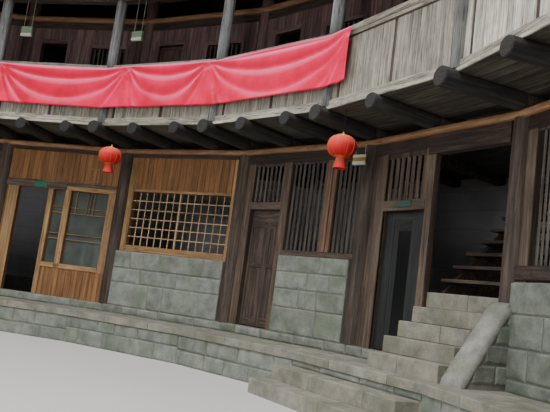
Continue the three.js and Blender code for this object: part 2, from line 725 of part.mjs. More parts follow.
// Cloth banner on the gallery posts and two lanterns under the gallery floor

function banner() {
  const postFront = GALLERY_RING - GALLERY_POST_RADIUS - GAP;
  const back = postFront * Math.cos(HALF_STEP);
  const band = bandOutline(back - CLOTH_THICK, back, CLOTH_TOP - CLOTH_HEIGHT, CLOTH_TOP);
  const start = BAY_A - CLOTH_LEFT;
  const part = wedge(start, start + CLOTH_BAYS);
  place('banner', geometryOf(solid(bayRing(band)).intersect(part)), redCloth);
}

// From the axis out: skirt, round body, cap and cord
function lanternOutline() {
  const rise = LANTERN_HEIGHT / 2;
  const bottom = LANTERN_LEVEL - LANTERN_DROP;
  const top = FLOOR_BOTTOM - GAP;
  const points = [[0, bottom], [SKIRT_RADIUS, bottom], [SKIRT_RADIUS / 2, LANTERN_LEVEL - rise]];
  for (let i = 0; i <= ARC_STEPS; i += 1) {
    const turn = ARC_TURN * ((2 * i) / ARC_STEPS - 1);
    const radius = LANTERN_CORE + (LANTERN_RADIUS - LANTERN_CORE) * Math.cos(turn);
    points.push([radius, LANTERN_LEVEL + rise * Math.sin(turn)]);
  }
  points.push([CAP_RADIUS, LANTERN_LEVEL + rise], [CAP_RADIUS, LANTERN_LEVEL + rise + CAP_HEIGHT]);
  points.push([CORD_RADIUS, LANTERN_LEVEL + rise + CAP_HEIGHT], [CORD_RADIUS, top], [0, top]);
  return points.map(([r, z]) => new THREE.Vector2(r, z));
}

function lantern(name, bay) {
  const body = new THREE.LatheGeometry(lanternOutline(), LANTERN_SIDES).rotateX(Math.PI / 2);
  body.translate(0, LANTERN_LINE, 0);
  place(name, atBay(geometryOf(solid(body)), bay), lanternRed);
}

earthWall();
footing();
gateFrame();
gateSteps();
terrace();
courtyardSteps();
stoneStair();
timberStair();
stairPier();
stoneSills();
groundFrame();
boarding();
doorLeaf('door_leaf_c', DOOR_C, BAY_C);
doorLeaf('door_leaf_d', DOOR_D, BAY_D);
upperFloor();
upperWall();
gallery();
roof();
banner();
lantern('lantern_left', LANTERN_SPOTS.left);
lantern('lantern_right', LANTERN_SPOTS.right);

export default house;
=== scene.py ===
"""Looks of a round earth house: boards, bars, tiles, stones and cloth around its fixed frame."""

import random
from functools import cache
from math import atan2, copysign, cos, exp, pi, sin, tan

import bpy
from mathutils import Matrix, Vector


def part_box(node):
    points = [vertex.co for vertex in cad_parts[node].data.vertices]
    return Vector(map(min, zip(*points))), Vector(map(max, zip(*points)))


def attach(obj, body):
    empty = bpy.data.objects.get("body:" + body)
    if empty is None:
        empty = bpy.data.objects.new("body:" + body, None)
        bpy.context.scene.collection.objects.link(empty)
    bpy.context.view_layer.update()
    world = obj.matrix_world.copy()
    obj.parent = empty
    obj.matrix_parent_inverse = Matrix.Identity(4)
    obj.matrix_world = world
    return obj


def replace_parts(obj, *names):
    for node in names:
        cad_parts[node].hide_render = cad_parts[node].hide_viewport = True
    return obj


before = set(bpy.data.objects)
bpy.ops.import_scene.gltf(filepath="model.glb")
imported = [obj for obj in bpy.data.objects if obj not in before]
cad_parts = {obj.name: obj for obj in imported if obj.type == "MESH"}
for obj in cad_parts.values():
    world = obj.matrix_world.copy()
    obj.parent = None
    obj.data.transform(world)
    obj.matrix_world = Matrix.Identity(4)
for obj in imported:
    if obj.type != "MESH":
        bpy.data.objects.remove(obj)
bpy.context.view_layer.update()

# Plan in metres: bays are counted clockwise from the gate, and each has its own
# axes: x to the right as seen from the courtyard, y outward and z up. Numbers that
# stand in a call are small insets, thicknesses and overlaps, also in metres
BAYS = 24
STEP = 2 * pi / BAYS
ROUND_SIDES = 48
HALF_SIDE = pi / ROUND_SIDES
SECTORS = {"gate_side": -4, "north_west": 4, "north_east": 12}
SECTOR_BAYS = 8
GATE_BAY = 0
BAY_A, BAY_B, BAY_C, BAY_D, BAY_E = 9, 10, 11, 12, 13
SPECIAL_BAYS = (GATE_BAY, BAY_A, BAY_B, BAY_C, BAY_D, BAY_E)

# Added to a bay's number, this looks at it from outside, with y counted as negative
OUTSIDE = BAYS / 2

WALL_LINE = 10.0
WALL_FRONT = WALL_LINE - 0.035
NEW_FRONT = WALL_FRONT - 0.018
OLD_FRONT = WALL_FRONT - 0.02
BAR_LINE = WALL_LINE - 0.01
GALLERY_LINE = 9.0
TERRACE_LINE = 8.95
SILL_LINE = WALL_LINE - 0.12
LEAF_FRONT = 10.04
LEAF_BACK = 10.0755
POST_RADIUS = 0.130
UPPER_POST_RADIUS = 0.115
GALLERY_POST_RADIUS = 0.088
JOIST_END = 8.862
PIER_FRONT = 9.80
PIER_FOOT = 0.06
FOOTING_RING = 14.65
OUTER_FRAME_LINE = 14.37
OUTER_BAR_LINE = 14.33
GATE_HALF = 1.17


def half_side(line):
    """Half the width of a bay at a distance from the centre."""
    return line * tan(STEP / 2)


HALF_BAY = half_side(WALL_LINE)
BOARD_HALF = HALF_BAY - POST_RADIUS
GALLERY_HALF = half_side(GALLERY_LINE)
WALL_RING = WALL_LINE / cos(STEP / 2)
GALLERY_RING = GALLERY_LINE / cos(STEP / 2)

# Levels
TERRACE_TOP = 0.54
SLAB_BOTTOM = 0.44
SILL_TOP = 0.68
DADO_TOP = 1.68
HIGH_DADO_TOP = 1.86
HEADER_BOTTOM = 3.36
NEW_HEADER_BOTTOM = 3.45
RING_BEAM = (3.52, 3.61)
SOFFIT = 3.79
FLOOR_TOP = 3.84
PARAPET_BOARDS = (3.93, 4.77)
HANDRAIL_TOP = 4.90
UPPER_BOARDS = (3.95, 5.98)
UPPER_BEAM = (6.12, 6.22)
EAVE_PLATE = (6.114, 6.25)
GALLERY_POST_TOP = 6.13
UPPER_POST_TOP = 6.6
FOOTING_TOP = 0.898

# Door and window holes of a bay: left, right, bottom, top
DOOR_A = (-0.915, -0.240, SILL_TOP, 2.715)
PANES_A = ((-0.137, 0.128, 1.300, 2.715), (0.248, 1.040, 1.300, 2.715))
LATTICE_B = (-1.037, 1.128, 1.800, 2.805)
DOOR_C = (-1.027, -0.340, SILL_TOP, 2.590)
TRANSOM_C = (-1.027, -0.340, 2.715, 3.320)
WINDOWS_C = ((-0.190, 0.540, 1.950, 3.330), (0.740, 1.150, 1.950, 3.330))
DOOR_D = (-0.905, -0.105, SILL_TOP, 2.555)
TRANSOM_D = (-0.905, -0.158, 2.700, 3.290)
PASSAGE_D = (0.020, BOARD_HALF, SILL_TOP, 3.265)
WINDOW_E = (-1.035, 1.035, 1.860, 3.330)
PLAIN_WINDOW = (-0.190, 1.100, 1.950, 3.330)
UPPER_DOORWAY = (-0.973, -0.395, 3.940, 5.660)
UPPER_WINDOW = (0.160, 0.900, 4.750, 5.600)
OUTER_PANE = (-0.2, 0.2, 4.76, 5.29)

# Gallery joists between the posts, as parts of a bay
JOIST_SPOTS = (0.35, 0.74)
WIDE_JOIST_SPOTS = (0.46,)

# Roof
EAVE = 8.3
RIDGE = 12.0
OUTER_EAVE = 15.6
ROOF_SLOPE = 0.5
ROOF_THICK = 0.15
RIDGE_UNDER = 7.8


# Helpers for places and shapes

def bay_place(bay):
    """Gives the function that turns a bay's own point to the house's frame."""
    turn = pi - bay * STEP
    c, s = cos(turn), sin(turn)
    return lambda x, y, z: (c * x - s * y, s * x + c * y, z)


def corners(x0, x1, z0, z1, inset=0.0):
    """The corners of a rectangle that is drawn in by an inset."""
    x0, x1, z0, z1 = x0 + inset, x1 - inset, z0 + inset, z1 - inset
    return [(x0, z0), (x1, z0), (x1, z1), (x0, z1)]


def left_over(span, holes):
    """What is left of an upright span beside the holes that cross it."""
    spans = [span]
    for _, _, bottom, top in holes:
        cut = []
        for low, high in spans:
            cut += [(low, min(high, bottom)), (max(low, top), high)]
        spans = [(low, high) for low, high in cut if high - low > 0.03]
    return spans


def even(_):
    """Keeps a turned body round."""
    return 1.0


def link(name, data):
    thing = bpy.data.objects.new(name, data)
    bpy.context.scene.collection.objects.link(thing)
    return thing


ALONG = {
    "x": lambda a, b, t: (t, a, b),
    "y": lambda a, b, t: (a, t, b),
    "z": lambda a, b, t: (a, b, t),
}


class Shape:
    """Gathers the corners and faces of one piece, drawn in the axes of the bay it stands in.

    What is drawn stands proud of the front towards the courtyard. Boards and rails
    have marks of their own, so that their grain can run up and along.
    """

    def __init__(self, seed, front=0.0, bay=GATE_BAY):
        self.points = []
        self.faces = []
        self.marks = []
        self.mark = 0
        self.board_mark = 0
        self.uneven = random.Random(seed).uniform
        self.front = front
        self.stand(bay)

    def stand(self, bay):
        self.place = bay_place(bay)

    def add(self, points, faces):
        first = len(self.points)
        self.points.extend(points)
        self.faces.extend(tuple(first + i for i in face) for face in faces)
        self.marks.extend([self.mark] * len(faces))

    def loft(self, loops):
        """Joins loops of equally many points, and closes both ends."""
        n = len(loops[0])
        last = (len(loops) - 1) * n
        faces = []
        for k in range(0, last, n):
            for i in range(n):
                j = (i + 1) % n
                faces.append((k + i, k + j, k + n + j, k + n + i))
        faces.append(tuple(reversed(range(n))))
        faces.append(tuple(last + i for i in range(n)))
        self.add([point for loop in loops for point in loop], faces)

    def prism(self, axis, outline, low, high):
        """A bar along x, y or z, from its outline in the other two axes."""
        order = ALONG[axis]
        self.loft([[self.place(*order(a, b, t)) for a, b in outline] for t in (low, high)])

    def log(self, axis, centre, radii, stations, sides):
        """A round log with a slightly uneven girth."""
        order = ALONG[axis]
        wobble = [self.uneven(0.985, 1.015) for _ in range(sides)]
        ring = [(w * cos(2 * pi * i / sides), w * sin(2 * pi * i / sides)) for i, w in enumerate(wobble)]
        self.loft([
            [self.place(*order(centre[0] + radius * a, centre[1] + radius * b, t)) for a, b in ring]
            for radius, t in zip(radii, stations)
        ])

    def revolve(self, centre, outline, sides, swell=even):
        """A body turned round an upright axis, from radii and heights."""
        loops = []
        for radius, z in outline:
            loop = []
            for i in range(sides):
                turn = 2 * pi * i / sides
                r = radius * swell(i)
                loop.append((centre.x + r * cos(turn), centre.y + r * sin(turn), z))
            loops.append(loop)
        self.loft(loops)

    def board(self, x0, x1, z0, z1, proud=0.0, thick=0.02, edge=0.005):
        """An upright board with its front edges planed off."""
        front = self.front - proud
        back = front + thick
        self.mark = self.board_mark
        self.prism("z", [
            (x0, back), (x0, front + edge), (x0 + edge, front),
            (x1 - edge, front), (x1, front + edge), (x1, back),
        ], z0, z1)

    def rail(self, x0, x1, z0, z1, proud=0.0, thick=0.03, edge=0.006):
        """A level rail with its front edges planed off."""
        front = self.front - proud
        back = front + thick
        self.mark = 1
        self.prism("x", [
            (back, z0), (front + edge, z0), (front, z0 + edge),
            (front, z1 - edge), (front + edge, z1), (back, z1),
        ], x0, x1)

    def lengths(self, start, stop, length, spread, least, edges=()):
        """Cuts a stretch into uneven lengths that end at near edges, and none of which is too short."""
        while start < stop - 0.01:
            end = start + length * self.uneven(1 - spread, 1 + spread)
            end = min([edge for edge in edges if start + 0.01 < edge < end + length / 3] + [end])
            if stop - end < length * least:
                end = stop
            yield start, end
            start = end

    def boards(self, x0, x1, z0, z1, width, proud=0.0, holes=(), gap=0.004, thick=0.02):
        """Upright boards of uneven width from side to side, cut out at the holes."""
        edges = [edge for hole in holes for edge in hole[:2]]
        for start, end in self.lengths(x0, x1, width, 0.25, 0.5, edges):
            crossed = [hole for hole in holes if hole[0] < (start + end) / 2 < hole[1]]
            for low, high in left_over((z0, z1), crossed):
                lift = self.uneven(0, 0.004)
                self.board(start + gap / 2, end - gap / 2, low, high, proud + lift, thick)

    def bars(self, hole, count, half=0.019):
        """Upright bars set cornerwise in a hole."""
        x0, x1, z0, z1 = hole
        line = self.front
        self.mark = 0
        for i in range(count):
            x = x0 + (i + 0.5) * (x1 - x0) / count + self.uneven(-0.004, 0.004)
            s = half * self.uneven(0.9, 1.1)
            outline = [(x - s, line), (x, line - s), (x + s, line), (x, line + s)]
            self.prism("z", outline, z0 - 0.01, z1 + 0.01)

    def surround(self, hole, width, proud, thick=0.03, foot=True):
        """A frame of two stiles and two rails round a hole."""
        x0, x1, z0, z1 = hole
        bottom = z0 - width if foot else z0
        self.board(x0 - width, x0, bottom, z1 + width, proud, thick)
        self.board(x1, x1 + width, bottom, z1 + width, proud, thick)
        self.rail(x0, x1, z1, z1 + width, proud - 0.003, thick)
        if foot:
            self.rail(x0, x1, z0 - width, z0, proud - 0.003, thick)

    def stone(self, x0, x1, z0, z1, proud):
        """A rough stone whose face bulges."""
        chamfer = min(0.022, (z1 - z0) / 5)
        outline = corners(x0, x1, z0, z1)
        x_middle, z_middle = (x0 + x1) / 2, (z0 + z1) / 2
        points = [self.place(x, self.front + 0.02, z) for x, z in outline]
        points += [self.place(x, self.front - proud * 0.35, z) for x, z in outline]
        for x, z in outline:
            inset = chamfer * self.uneven(0.6, 1.3)
            y = self.front - proud * self.uneven(0.8, 1.1)
            across, up = copysign(inset, x_middle - x), copysign(inset, z_middle - z)
            points.append(self.place(x + across, y, z + up))
        points.append(self.place(x_middle + self.uneven(-0.03, 0.03), self.front - proud * 1.2, z_middle))
        faces = [(3, 2, 1, 0)]
        for i in range(4):
            j = (i + 1) % 4
            faces += [(i, j, j + 4, i + 4), (i + 4, j + 4, j + 8, i + 8), (i + 8, j + 8, 12)]
        self.add(points, faces)

    def masonry(self, x0, x1, z0, z1, courses, length, proud=0.018, joint=0.012):
        """Uneven courses of stones between two places across and two levels."""
        shares = [self.uneven(0.75, 1.3) for _ in range(courses)]
        gap = joint / 2
        low = z0
        for share in shares:
            high = low + (z1 - z0) * share / sum(shares)
            for start, end in self.lengths(x0, x1, length, 0.5, 0.45):
                self.stone(start + gap, end - gap, low + gap, high - gap, proud * self.uneven(0.6, 1.1))
            low = high

    def slabs(self, x, y, z, length, joint=0.008):
        """A row of flat stones with worn upper edges; x, y and z are pairs."""
        low = z[0]
        for start, end in self.lengths(*x, length, 0.3, 0.5):
            top = z[1] - self.uneven(0, 0.003)
            edge = 0.012 * self.uneven(0.8, 1.3)
            levels = ((0.0, low), (0.0, top - edge), (edge * 0.3, top - edge * 0.3), (edge, top))
            self.loft([
                [self.place(a, b, level) for a, b in corners(start + joint / 2, end - joint / 2, *y, inset)]
                for inset, level in levels
            ])

    def make(self, name, materials, slot="old_wood", body="root", smooth=None):
        """Turns the gathered shape into a piece that rides on its body."""
        mesh = bpy.data.meshes.new(name)
        mesh.from_pydata(self.points, [], self.faces)
        for material in materials:
            mesh.materials.append(material)
        if len(materials) > 1:
            mesh.polygons.foreach_set("material_index", self.marks)
        mesh.update()
        if smooth is not None:
            mesh.shade_smooth()
            mesh.set_sharp_from_angle(angle=smooth)
        piece = link(name, mesh)
        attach(piece, body)
        return piece


def sectors(*starts):
    """Goes through the sectors: the name, the bays, and a new shape for each seed and front."""
    for name, first in SECTORS.items():
        shapes = [Shape(first + seed, front) for seed, front in starts]
        yield name, range(first, first + SECTOR_BAYS), *shapes


def walk(bays, *shapes):
    """Goes through the bays, and stands the shapes in each."""
    for bay in bays:
        for shape in shapes:
            shape.stand(bay)
        yield bay


# Materials

def paint(*colour):
    """An sRGB colour of 0 to 255 as the linear colour that shaders take."""
    shares = [value / 255 for value in colour]
    linear = [share / 12.92 if share <= 0.04045 else ((share + 0.055) / 1.055) ** 2.4 for share in shares]
    return (*linear, 1.0)


class Shader:
    """A material whose nodes are made by short calls."""

    def __init__(self, name):
        self.material = bpy.data.materials.new(name)
        self.material.use_nodes = True
        self.tree = self.material.node_tree
        self.surface = self.tree.nodes["Principled BSDF"]

    def put(self, socket, value):
        if isinstance(value, bpy.types.NodeSocket):
            self.tree.links.new(value, socket)
        else:
            socket.default_value = value

    def node(self, kind, inputs=(), output=0, **settings):
        """Makes a node with its inputs, by name or in order, and gives one of its outputs."""
        node = self.tree.nodes.new("ShaderNode" + kind)
        for name, value in settings.items():
            setattr(node, name, value)
        for key, value in inputs.items() if isinstance(inputs, dict) else enumerate(inputs):
            self.put(node.inputs[key], value)
        return node.outputs[output]

    def math(self, operation, a, b=0.0):
        return self.node("Math", (a, b), operation=operation)

    def times(self, a, b):
        return self.math("MULTIPLY", a, b)

    def stretch(self, place, factors):
        return self.node("VectorMath", (place, factors), operation="MULTIPLY")

    def shuffle(self, place, stride, number):
        """Moves a place by a random number of strides, so that no two pieces look alike."""
        return self.node("VectorMath", (place, self.brighten(stride, number)), operation="ADD")

    def brighten(self, colour, value):
        """Multiplies a colour by a number."""
        vector = colour[:3] if isinstance(colour, tuple) else colour
        return self.node("VectorMath", {0: vector, "Scale": value}, operation="SCALE")

    def blend(self, coarse, fine):
        return self.math("ADD", self.times(coarse, 0.7), self.times(fine, 0.3))

    def parts(self, vector):
        return self.node("SeparateXYZ", (vector,)).node.outputs

    def object_place(self):
        return self.node("TexCoord", output="Object")

    def ring_place(self):
        """Place as length along the ring, distance from its centre, and height."""
        x, y, z = self.parts(self.object_place())
        turn = self.math("ARCTAN2", y, x)
        away = self.math("SQRT", self.math("ADD", self.times(x, x), self.times(y, y)))
        return self.node("CombineXYZ", (self.times(turn, WALL_LINE), away, z))

    def island(self):
        return self.node("NewGeometry", output="Random Per Island")

    def facing_up(self, normal="Normal"):
        return self.parts(self.node("NewGeometry", output=normal))[2]

    def noise(self, place, scale, detail=2.0, roughness=0.5, distortion=0.0):
        return self.node("TexNoise", {
            "Vector": place, "Scale": scale, "Detail": detail, "Roughness": roughness,
            "Distortion": distortion,
        })

    def cells(self, place, scale, feature="F1"):
        return self.node("TexVoronoi", {"Vector": place, "Scale": scale}, "Distance", feature=feature)

    def rows(self, count):
        """How far a place is from the middle of its counted row, and a random number for that row."""
        side = self.math("ABSOLUTE", self.math("SUBTRACT", self.math("FRACT", count), 0.5))
        row = self.math("FLOOR", count)
        return side, self.node("TexWhiteNoise", {"W": row}, "Value", noise_dimensions="1D")

    def ramp(self, value, *stops):
        result = self.node("ValToRGB", (value,))
        elements = result.node.color_ramp.elements
        while len(elements) < len(stops):
            elements.new(0.5)
        for element, (place, colour) in zip(elements, stops):
            element.position = place
            element.color = colour
        return result

    def fit(self, value, low, high, to_low=0.0, to_high=1.0):
        return self.node("MapRange", (value, low, high, to_low, to_high))

    def mix(self, share, a, b, blend="MIX"):
        inputs = {"Factor": share, 6: a, 7: b}
        return self.node("Mix", inputs, 2, data_type="RGBA", blend_type=blend)

    def shade(self, colour, value, *limits):
        """Brightens a colour by a fitted value."""
        return self.brighten(colour, self.fit(value, *limits))

    def stain(self, colour, other, value, *limits):
        """Mixes another colour in by a fitted value."""
        return self.mix(self.fit(value, *limits), colour, other)

    def finish(self, colour, roughness, height=None, depth=0.01, strength=0.6):
        self.put(self.surface.inputs["Base Color"], colour)
        self.put(self.surface.inputs["Roughness"], roughness)
        if height is not None:
            bump = self.node("Bump", {"Strength": strength, "Distance": depth, "Height": height})
            self.put(self.surface.inputs["Normal"], bump)
        return self.material


# Dark, middle and light colour of each wood
WOODS = {
    "new_wood": ((92, 59, 32), (124, 84, 49), (148, 106, 64)),
    "light_wood": ((124, 100, 71), (176, 147, 110), (210, 183, 146)),
    "parapet_wood": ((104, 98, 86), (154, 147, 132), (192, 187, 172)),
    # painted_light_parapet: a paler copy of the parapet wood, as painted light.
    "painted_light_parapet": ((142, 136, 122), (206, 201, 185), (238, 234, 221)),
    "edge_wood": ((112, 109, 92), (166, 163, 144), (198, 196, 178)),
    "gold_wood": ((94, 67, 40), (140, 107, 69), (172, 138, 95)),
    "rust_wood": ((66, 47, 35), (106, 78, 58), (134, 103, 79)),
    "beam_wood": ((92, 63, 42), (138, 101, 70), (168, 130, 96)),
    "red_wood": ((36, 29, 25), (69, 56, 47), (97, 81, 69)),
    "casing_wood": ((15, 17, 16), (25, 28, 26), (36, 40, 37)),
    "header_wood": ((27, 20, 17), (51, 38, 32), (78, 61, 52)),
    "upper_wood": ((58, 43, 43), (93, 70, 69), (124, 98, 94)),
    "old_wood": ((34, 27, 23), (64, 51, 43), (96, 80, 68)),
    # painted_shade_wood is darkened as painted shade, for the joist logs under the gallery.
    "painted_shade_wood": ((24, 23, 23), (44, 41, 39), (68, 63, 59)),
    "soffit_wood": ((42, 39, 34), (78, 72, 64), (112, 104, 93)),
    "tan_wood": ((48, 38, 31), (83, 68, 55), (114, 96, 79)),
    "bar_wood": ((46, 42, 37), (81, 74, 66), (113, 104, 93)),
    "post_wood": ((46, 41, 37), (82, 74, 66), (116, 106, 95)),
    "pale_post": ((110, 110, 110), (166, 167, 168), (204, 205, 206)),
}
PARAPET_WOODS = ("parapet_wood", "painted_light_parapet")
WEATHERED_WOODS = PARAPET_WOODS + ("edge_wood", "pale_post")
GRAIN = {"up": (1, 1, 0.05), "along": (0.05, 1, 1), "out": (1, 0.05, 1)}
# Multiplies the pale posts' colour below the handrail.
POST_LOW_TONE = (0.37, 0.36, 0.33, 1.0)
JOINT_COLOUR = (0.01, 0.008, 0.006, 1.0)


@cache
def wood(kind, grain, planks=0.0):
    """Wood with its grain up, along the ring or outward, perhaps with planks of a width painted in."""
    dark, middle, light = [paint(*colour) for colour in WOODS[kind]]
    s = Shader(f"{kind}_{grain}" + ("_planked" if planks else ""))
    ring = s.ring_place()
    number = s.island()
    if planks:
        across = s.parts(ring)[1 if grain == "along" else 0]
        side, number = s.rows(s.math("DIVIDE", across, planks))
    shifted = s.shuffle(ring, (7.3, 3.1, 11.7), number)
    drawn = s.stretch(shifted, GRAIN[grain])
    streaks = s.noise(drawn, 26.0, 3.0, 0.6, 0.6)
    height = s.blend(streaks, s.noise(drawn, 150.0, 2.0, 0.6))
    patches = s.noise(shifted, 1.3, 3.0, 0.6)
    colour = s.ramp(height, (0.32, dark), (0.5, middle), (0.68, light))
    spread = 0.07 if kind in PARAPET_WOODS else 0.19
    tone = s.times(s.fit(number, 0.0, 1.0, 1 - spread, 1 + spread), s.fit(patches, 0.3, 0.7, 0.8, 1.12))
    colour = s.brighten(colour, tone)
    if kind in WEATHERED_WOODS:
        colour = weathered(s, colour, shifted, drawn)
    # Pale posts are darker below the handrail than above it.
    if kind == "pale_post":
        darker_below = s.mix(1.0, colour, POST_LOW_TONE, "MULTIPLY")
        colour = s.stain(darker_below, colour, s.parts(ring)[2], HANDRAIL_TOP - 0.05, HANDRAIL_TOP + 0.25)
    knots = s.cells(s.stretch(shifted, (3.2, 3.2, 1.4)), 1.6)
    colour = s.stain(colour, dark, knots, 0.05, 0.08, 0.65, 0.0)
    if planks:
        joint = s.fit(side, 0.5 - 0.006 / planks, 0.5 - 0.002 / planks)
        colour = s.mix(joint, colour, JOINT_COLOUR)
        height = s.math("SUBTRACT", height, s.times(joint, 2.0))
    return s.finish(colour, s.fit(streaks, 0.3, 0.7, 0.86, 0.62), height, 0.006)


def weathered(s, colour, place, drawn):
    """Broad stains, rain streaks and fine dark cracks along the grain."""
    colour = s.shade(colour, s.noise(drawn, 8.0, 4.0, 0.7), 0.34, 0.66, 0.66, 1.16)
    colour = s.shade(colour, s.noise(place, 3.6, 4.0, 0.65), 0.36, 0.64, 0.84, 1.08)
    return s.stain(colour, paint(56, 49, 42), s.noise(drawn, 62.0, 2.0, 0.5), 0.33, 0.40, 0.8, 0.0)


def woods(kind):
    """The same wood with its grain up for boards and along for rails."""
    return [wood(kind, "up"), wood(kind, "along")]


def log_end_wood(name, dark, light):
    """The sawn end of a log, dark and cracked."""
    s = Shader(name)
    place = s.object_place()
    rings = s.noise(place, 40.0, 3.0, 0.7)
    colour = s.ramp(rings, (0.3, dark), (0.7, light))
    cracks = s.cells(place, 28.0, "DISTANCE_TO_EDGE")
    colour = s.stain(colour, paint(18, 16, 15), cracks, 0.0, 0.06, 0.8, 0.0)
    return s.finish(colour, 0.9, rings, 0.01)


def stone_material(name, dark, light, moss, spread):
    s = Shader(name)
    number = s.island()
    place = s.shuffle(s.object_place(), (5.1, 9.7, 2.3), number)
    broad = s.noise(place, 5.0, 4.0, 0.6)
    fine = s.noise(place, 55.0, 4.0, 0.65)
    colour = s.ramp(broad, (0.3, dark), (0.7, light))
    colour = s.stain(colour, moss, s.noise(place, 1.7, 3.0), 0.52, 0.68, 0.0, 0.7)
    colour = s.shade(colour, number, 0.0, 1.0, 1.0 - spread, 1.0 + spread)
    colour = s.shade(colour, fine, 0.2, 0.8, 0.75, 1.2)
    return s.finish(colour, s.fit(fine, 0.3, 0.7, 0.95, 0.8), s.blend(broad, fine), 0.02)


def earth_material():
    """Rammed earth: lifts, rain streaks and small stones, and on the rooms' side a pale bluish grey as
    painted light that lifts the dark rooms.
    """
    s = Shader("rammed_earth")
    ring = s.ring_place()
    _, away, height = s.parts(ring)
    uneven = s.noise(s.stretch(ring, (0.35, 1, 1)), 2.2, 3.0)
    seam, tone = s.rows(s.math("ADD", s.math("DIVIDE", height, 0.36), s.times(uneven, 0.35)))
    broad = s.noise(ring, 0.8, 4.0, 0.6)
    fine = s.noise(ring, 22.0, 5.0, 0.7)
    streak = s.noise(s.stretch(ring, (1, 1, 0.07)), 3.0, 3.0, 0.6)
    colour = s.ramp(broad, (0.3, paint(150, 117, 76)), (0.55, paint(186, 152, 106)),
                    (0.75, paint(206, 178, 136)))
    colour = s.shade(colour, tone, 0.0, 1.0, 0.88, 1.1)
    colour = s.shade(colour, streak, 0.35, 0.7, 0.82, 1.08)
    colour = s.shade(colour, fine, 0.2, 0.8, 0.8, 1.15)
    colour = s.stain(colour, paint(96, 74, 50), seam, 0.46, 0.5, 0.0, 0.55)
    colour = s.stain(colour, paint(130, 124, 112), s.cells(ring, 16.0), 0.12, 0.16, 0.5, 0.0)
    # Painted light: the rooms' side of the wall is a pale bluish grey that brightens the dark rooms.
    painted_room_light = s.shade(paint(165, 170, 180), broad, 0.3, 0.7, 0.7, 1.2)
    colour = s.stain(colour, painted_room_light, away, 13.2, 13.7, 0.9, 0.0)
    return s.finish(colour, 0.95, s.math("SUBTRACT", fine, s.fit(seam, 0.44, 0.5, 0.0, 1.2)), 0.02)


def tile_material(name, pans):
    """Grey clay tile; with pans, the flat between the rows shows its laps, and its underside is boarded."""
    s = Shader(name)
    number = s.island()
    ring = s.ring_place()
    place = s.shuffle(ring, (4.0, 8.0, 2.0), number)
    broad = s.noise(place, 3.0, 4.0, 0.6)
    fine = s.noise(place, 45.0, 3.0, 0.6)
    colour = s.ramp(broad, (0.3, paint(66, 66, 64)), (0.6, paint(104, 102, 97)), (0.8, paint(132, 128, 118)))
    colour = s.stain(colour, paint(74, 76, 56), s.noise(place, 0.9, 4.0, 0.7), 0.55, 0.7, 0.0, 0.6)
    if not pans:
        return s.finish(s.shade(colour, number, 0.0, 1.0, 0.72, 1.22), 0.88, fine, 0.006)
    lap = s.math("FRACT", s.math("DIVIDE", s.parts(ring)[1], 0.116))
    colour = s.stain(s.brighten(colour, 0.72), paint(24, 24, 24), lap, 0.0, 0.18, 0.8, 0.0)
    batten = s.noise(s.stretch(ring, (1, 0.06, 1)), 24.0, 2.0)
    boarding = s.ramp(batten, (0.3, paint(38, 31, 26)), (0.7, paint(84, 70, 58)))
    colour = s.stain(colour, boarding, s.facing_up("True Normal"), -0.2, -0.1, 1.0, 0.0)
    return s.finish(colour, 0.9, s.math("ADD", lap, s.times(fine, 0.3)), 0.012)


def glass_material():
    s = Shader("window_glass")
    smear = s.noise(s.object_place(), 3.0, 3.0)
    colour = s.ramp(smear, (0.3, paint(60, 66, 62)), (0.7, paint(82, 88, 83)))
    s.put(s.surface.inputs["Coat Weight"], 0.6)
    return s.finish(colour, s.fit(smear, 0.3, 0.7, 0.05, 0.2))


def cloth_material(name, colour, deep, light, painted_light_from, painted_light_to):
    """Thin woven cloth that is paler as a painted highlight where its folds face up, and deeper as painted
    shade where they face down.
    """
    s = Shader(name)
    place = s.object_place()
    weave = s.noise(place, 420.0, 1.0)
    painted_light_facing = s.facing_up()
    shade = s.stain(deep, colour, s.noise(place, 2.2, 3.0), 0.3, 0.7)
    # Painted shade where the cloth faces down, and a painted highlight where it faces up.
    shade = s.stain(shade, deep, painted_light_facing, -painted_light_to, -painted_light_from, 0.9, 0.0)
    shade = s.stain(shade, light, painted_light_facing, painted_light_from, painted_light_to)
    s.put(s.surface.inputs["Specular IOR Level"], 0.2)
    return s.finish(s.shade(shade, weave, 0.3, 0.7, 0.92, 1.06), 0.7, weave, 0.0006, 0.4)


def plain_material(name, colour, rough, metallic=0.0):
    """Worn paint or metal."""
    s = Shader(name)
    wear = s.noise(s.object_place(), 60.0, 3.0)
    s.put(s.surface.inputs["Metallic"], metallic)
    return s.finish(s.shade(colour, wear, 0.3, 0.7, 0.82, 1.1), rough, wear, 0.001, 0.3)


STONE = stone_material("dressed_stone", paint(94, 99, 91), paint(138, 141, 131), paint(98, 109, 88), 0.13)
FLAGS = stone_material("worn_flags", paint(104, 102, 92), paint(146, 142, 128), paint(104, 108, 84), 0.14)
COPING = stone_material("worn_coping", paint(104, 104, 98), paint(150, 149, 140), paint(112, 118, 98), 0.05)
MORTAR = stone_material("stone_bed", paint(104, 103, 94), paint(136, 134, 124), paint(104, 108, 88), 0.05)
EARTH = earth_material()
TILE = tile_material("roof_tile", False)
PANS = tile_material("roof_pans", True)
GLASS = glass_material()
LOG_END = log_end_wood("log_ends", paint(30, 29, 27), paint(58, 56, 52))
# Darker log ends, as painted shade, for the joists between the posts.
SHADED_LOG_END = log_end_wood("painted_shade_log_ends", paint(26, 26, 27), paint(50, 49, 49))
# The banner's pale pink is a painted highlight on folds that face up, and its deep red is partly painted
# shade on folds that face down.
BANNER = cloth_material(
    "banner_cloth", paint(255, 24, 88), paint(216, 4, 54), paint(255, 132, 168), 0.04, 0.36)
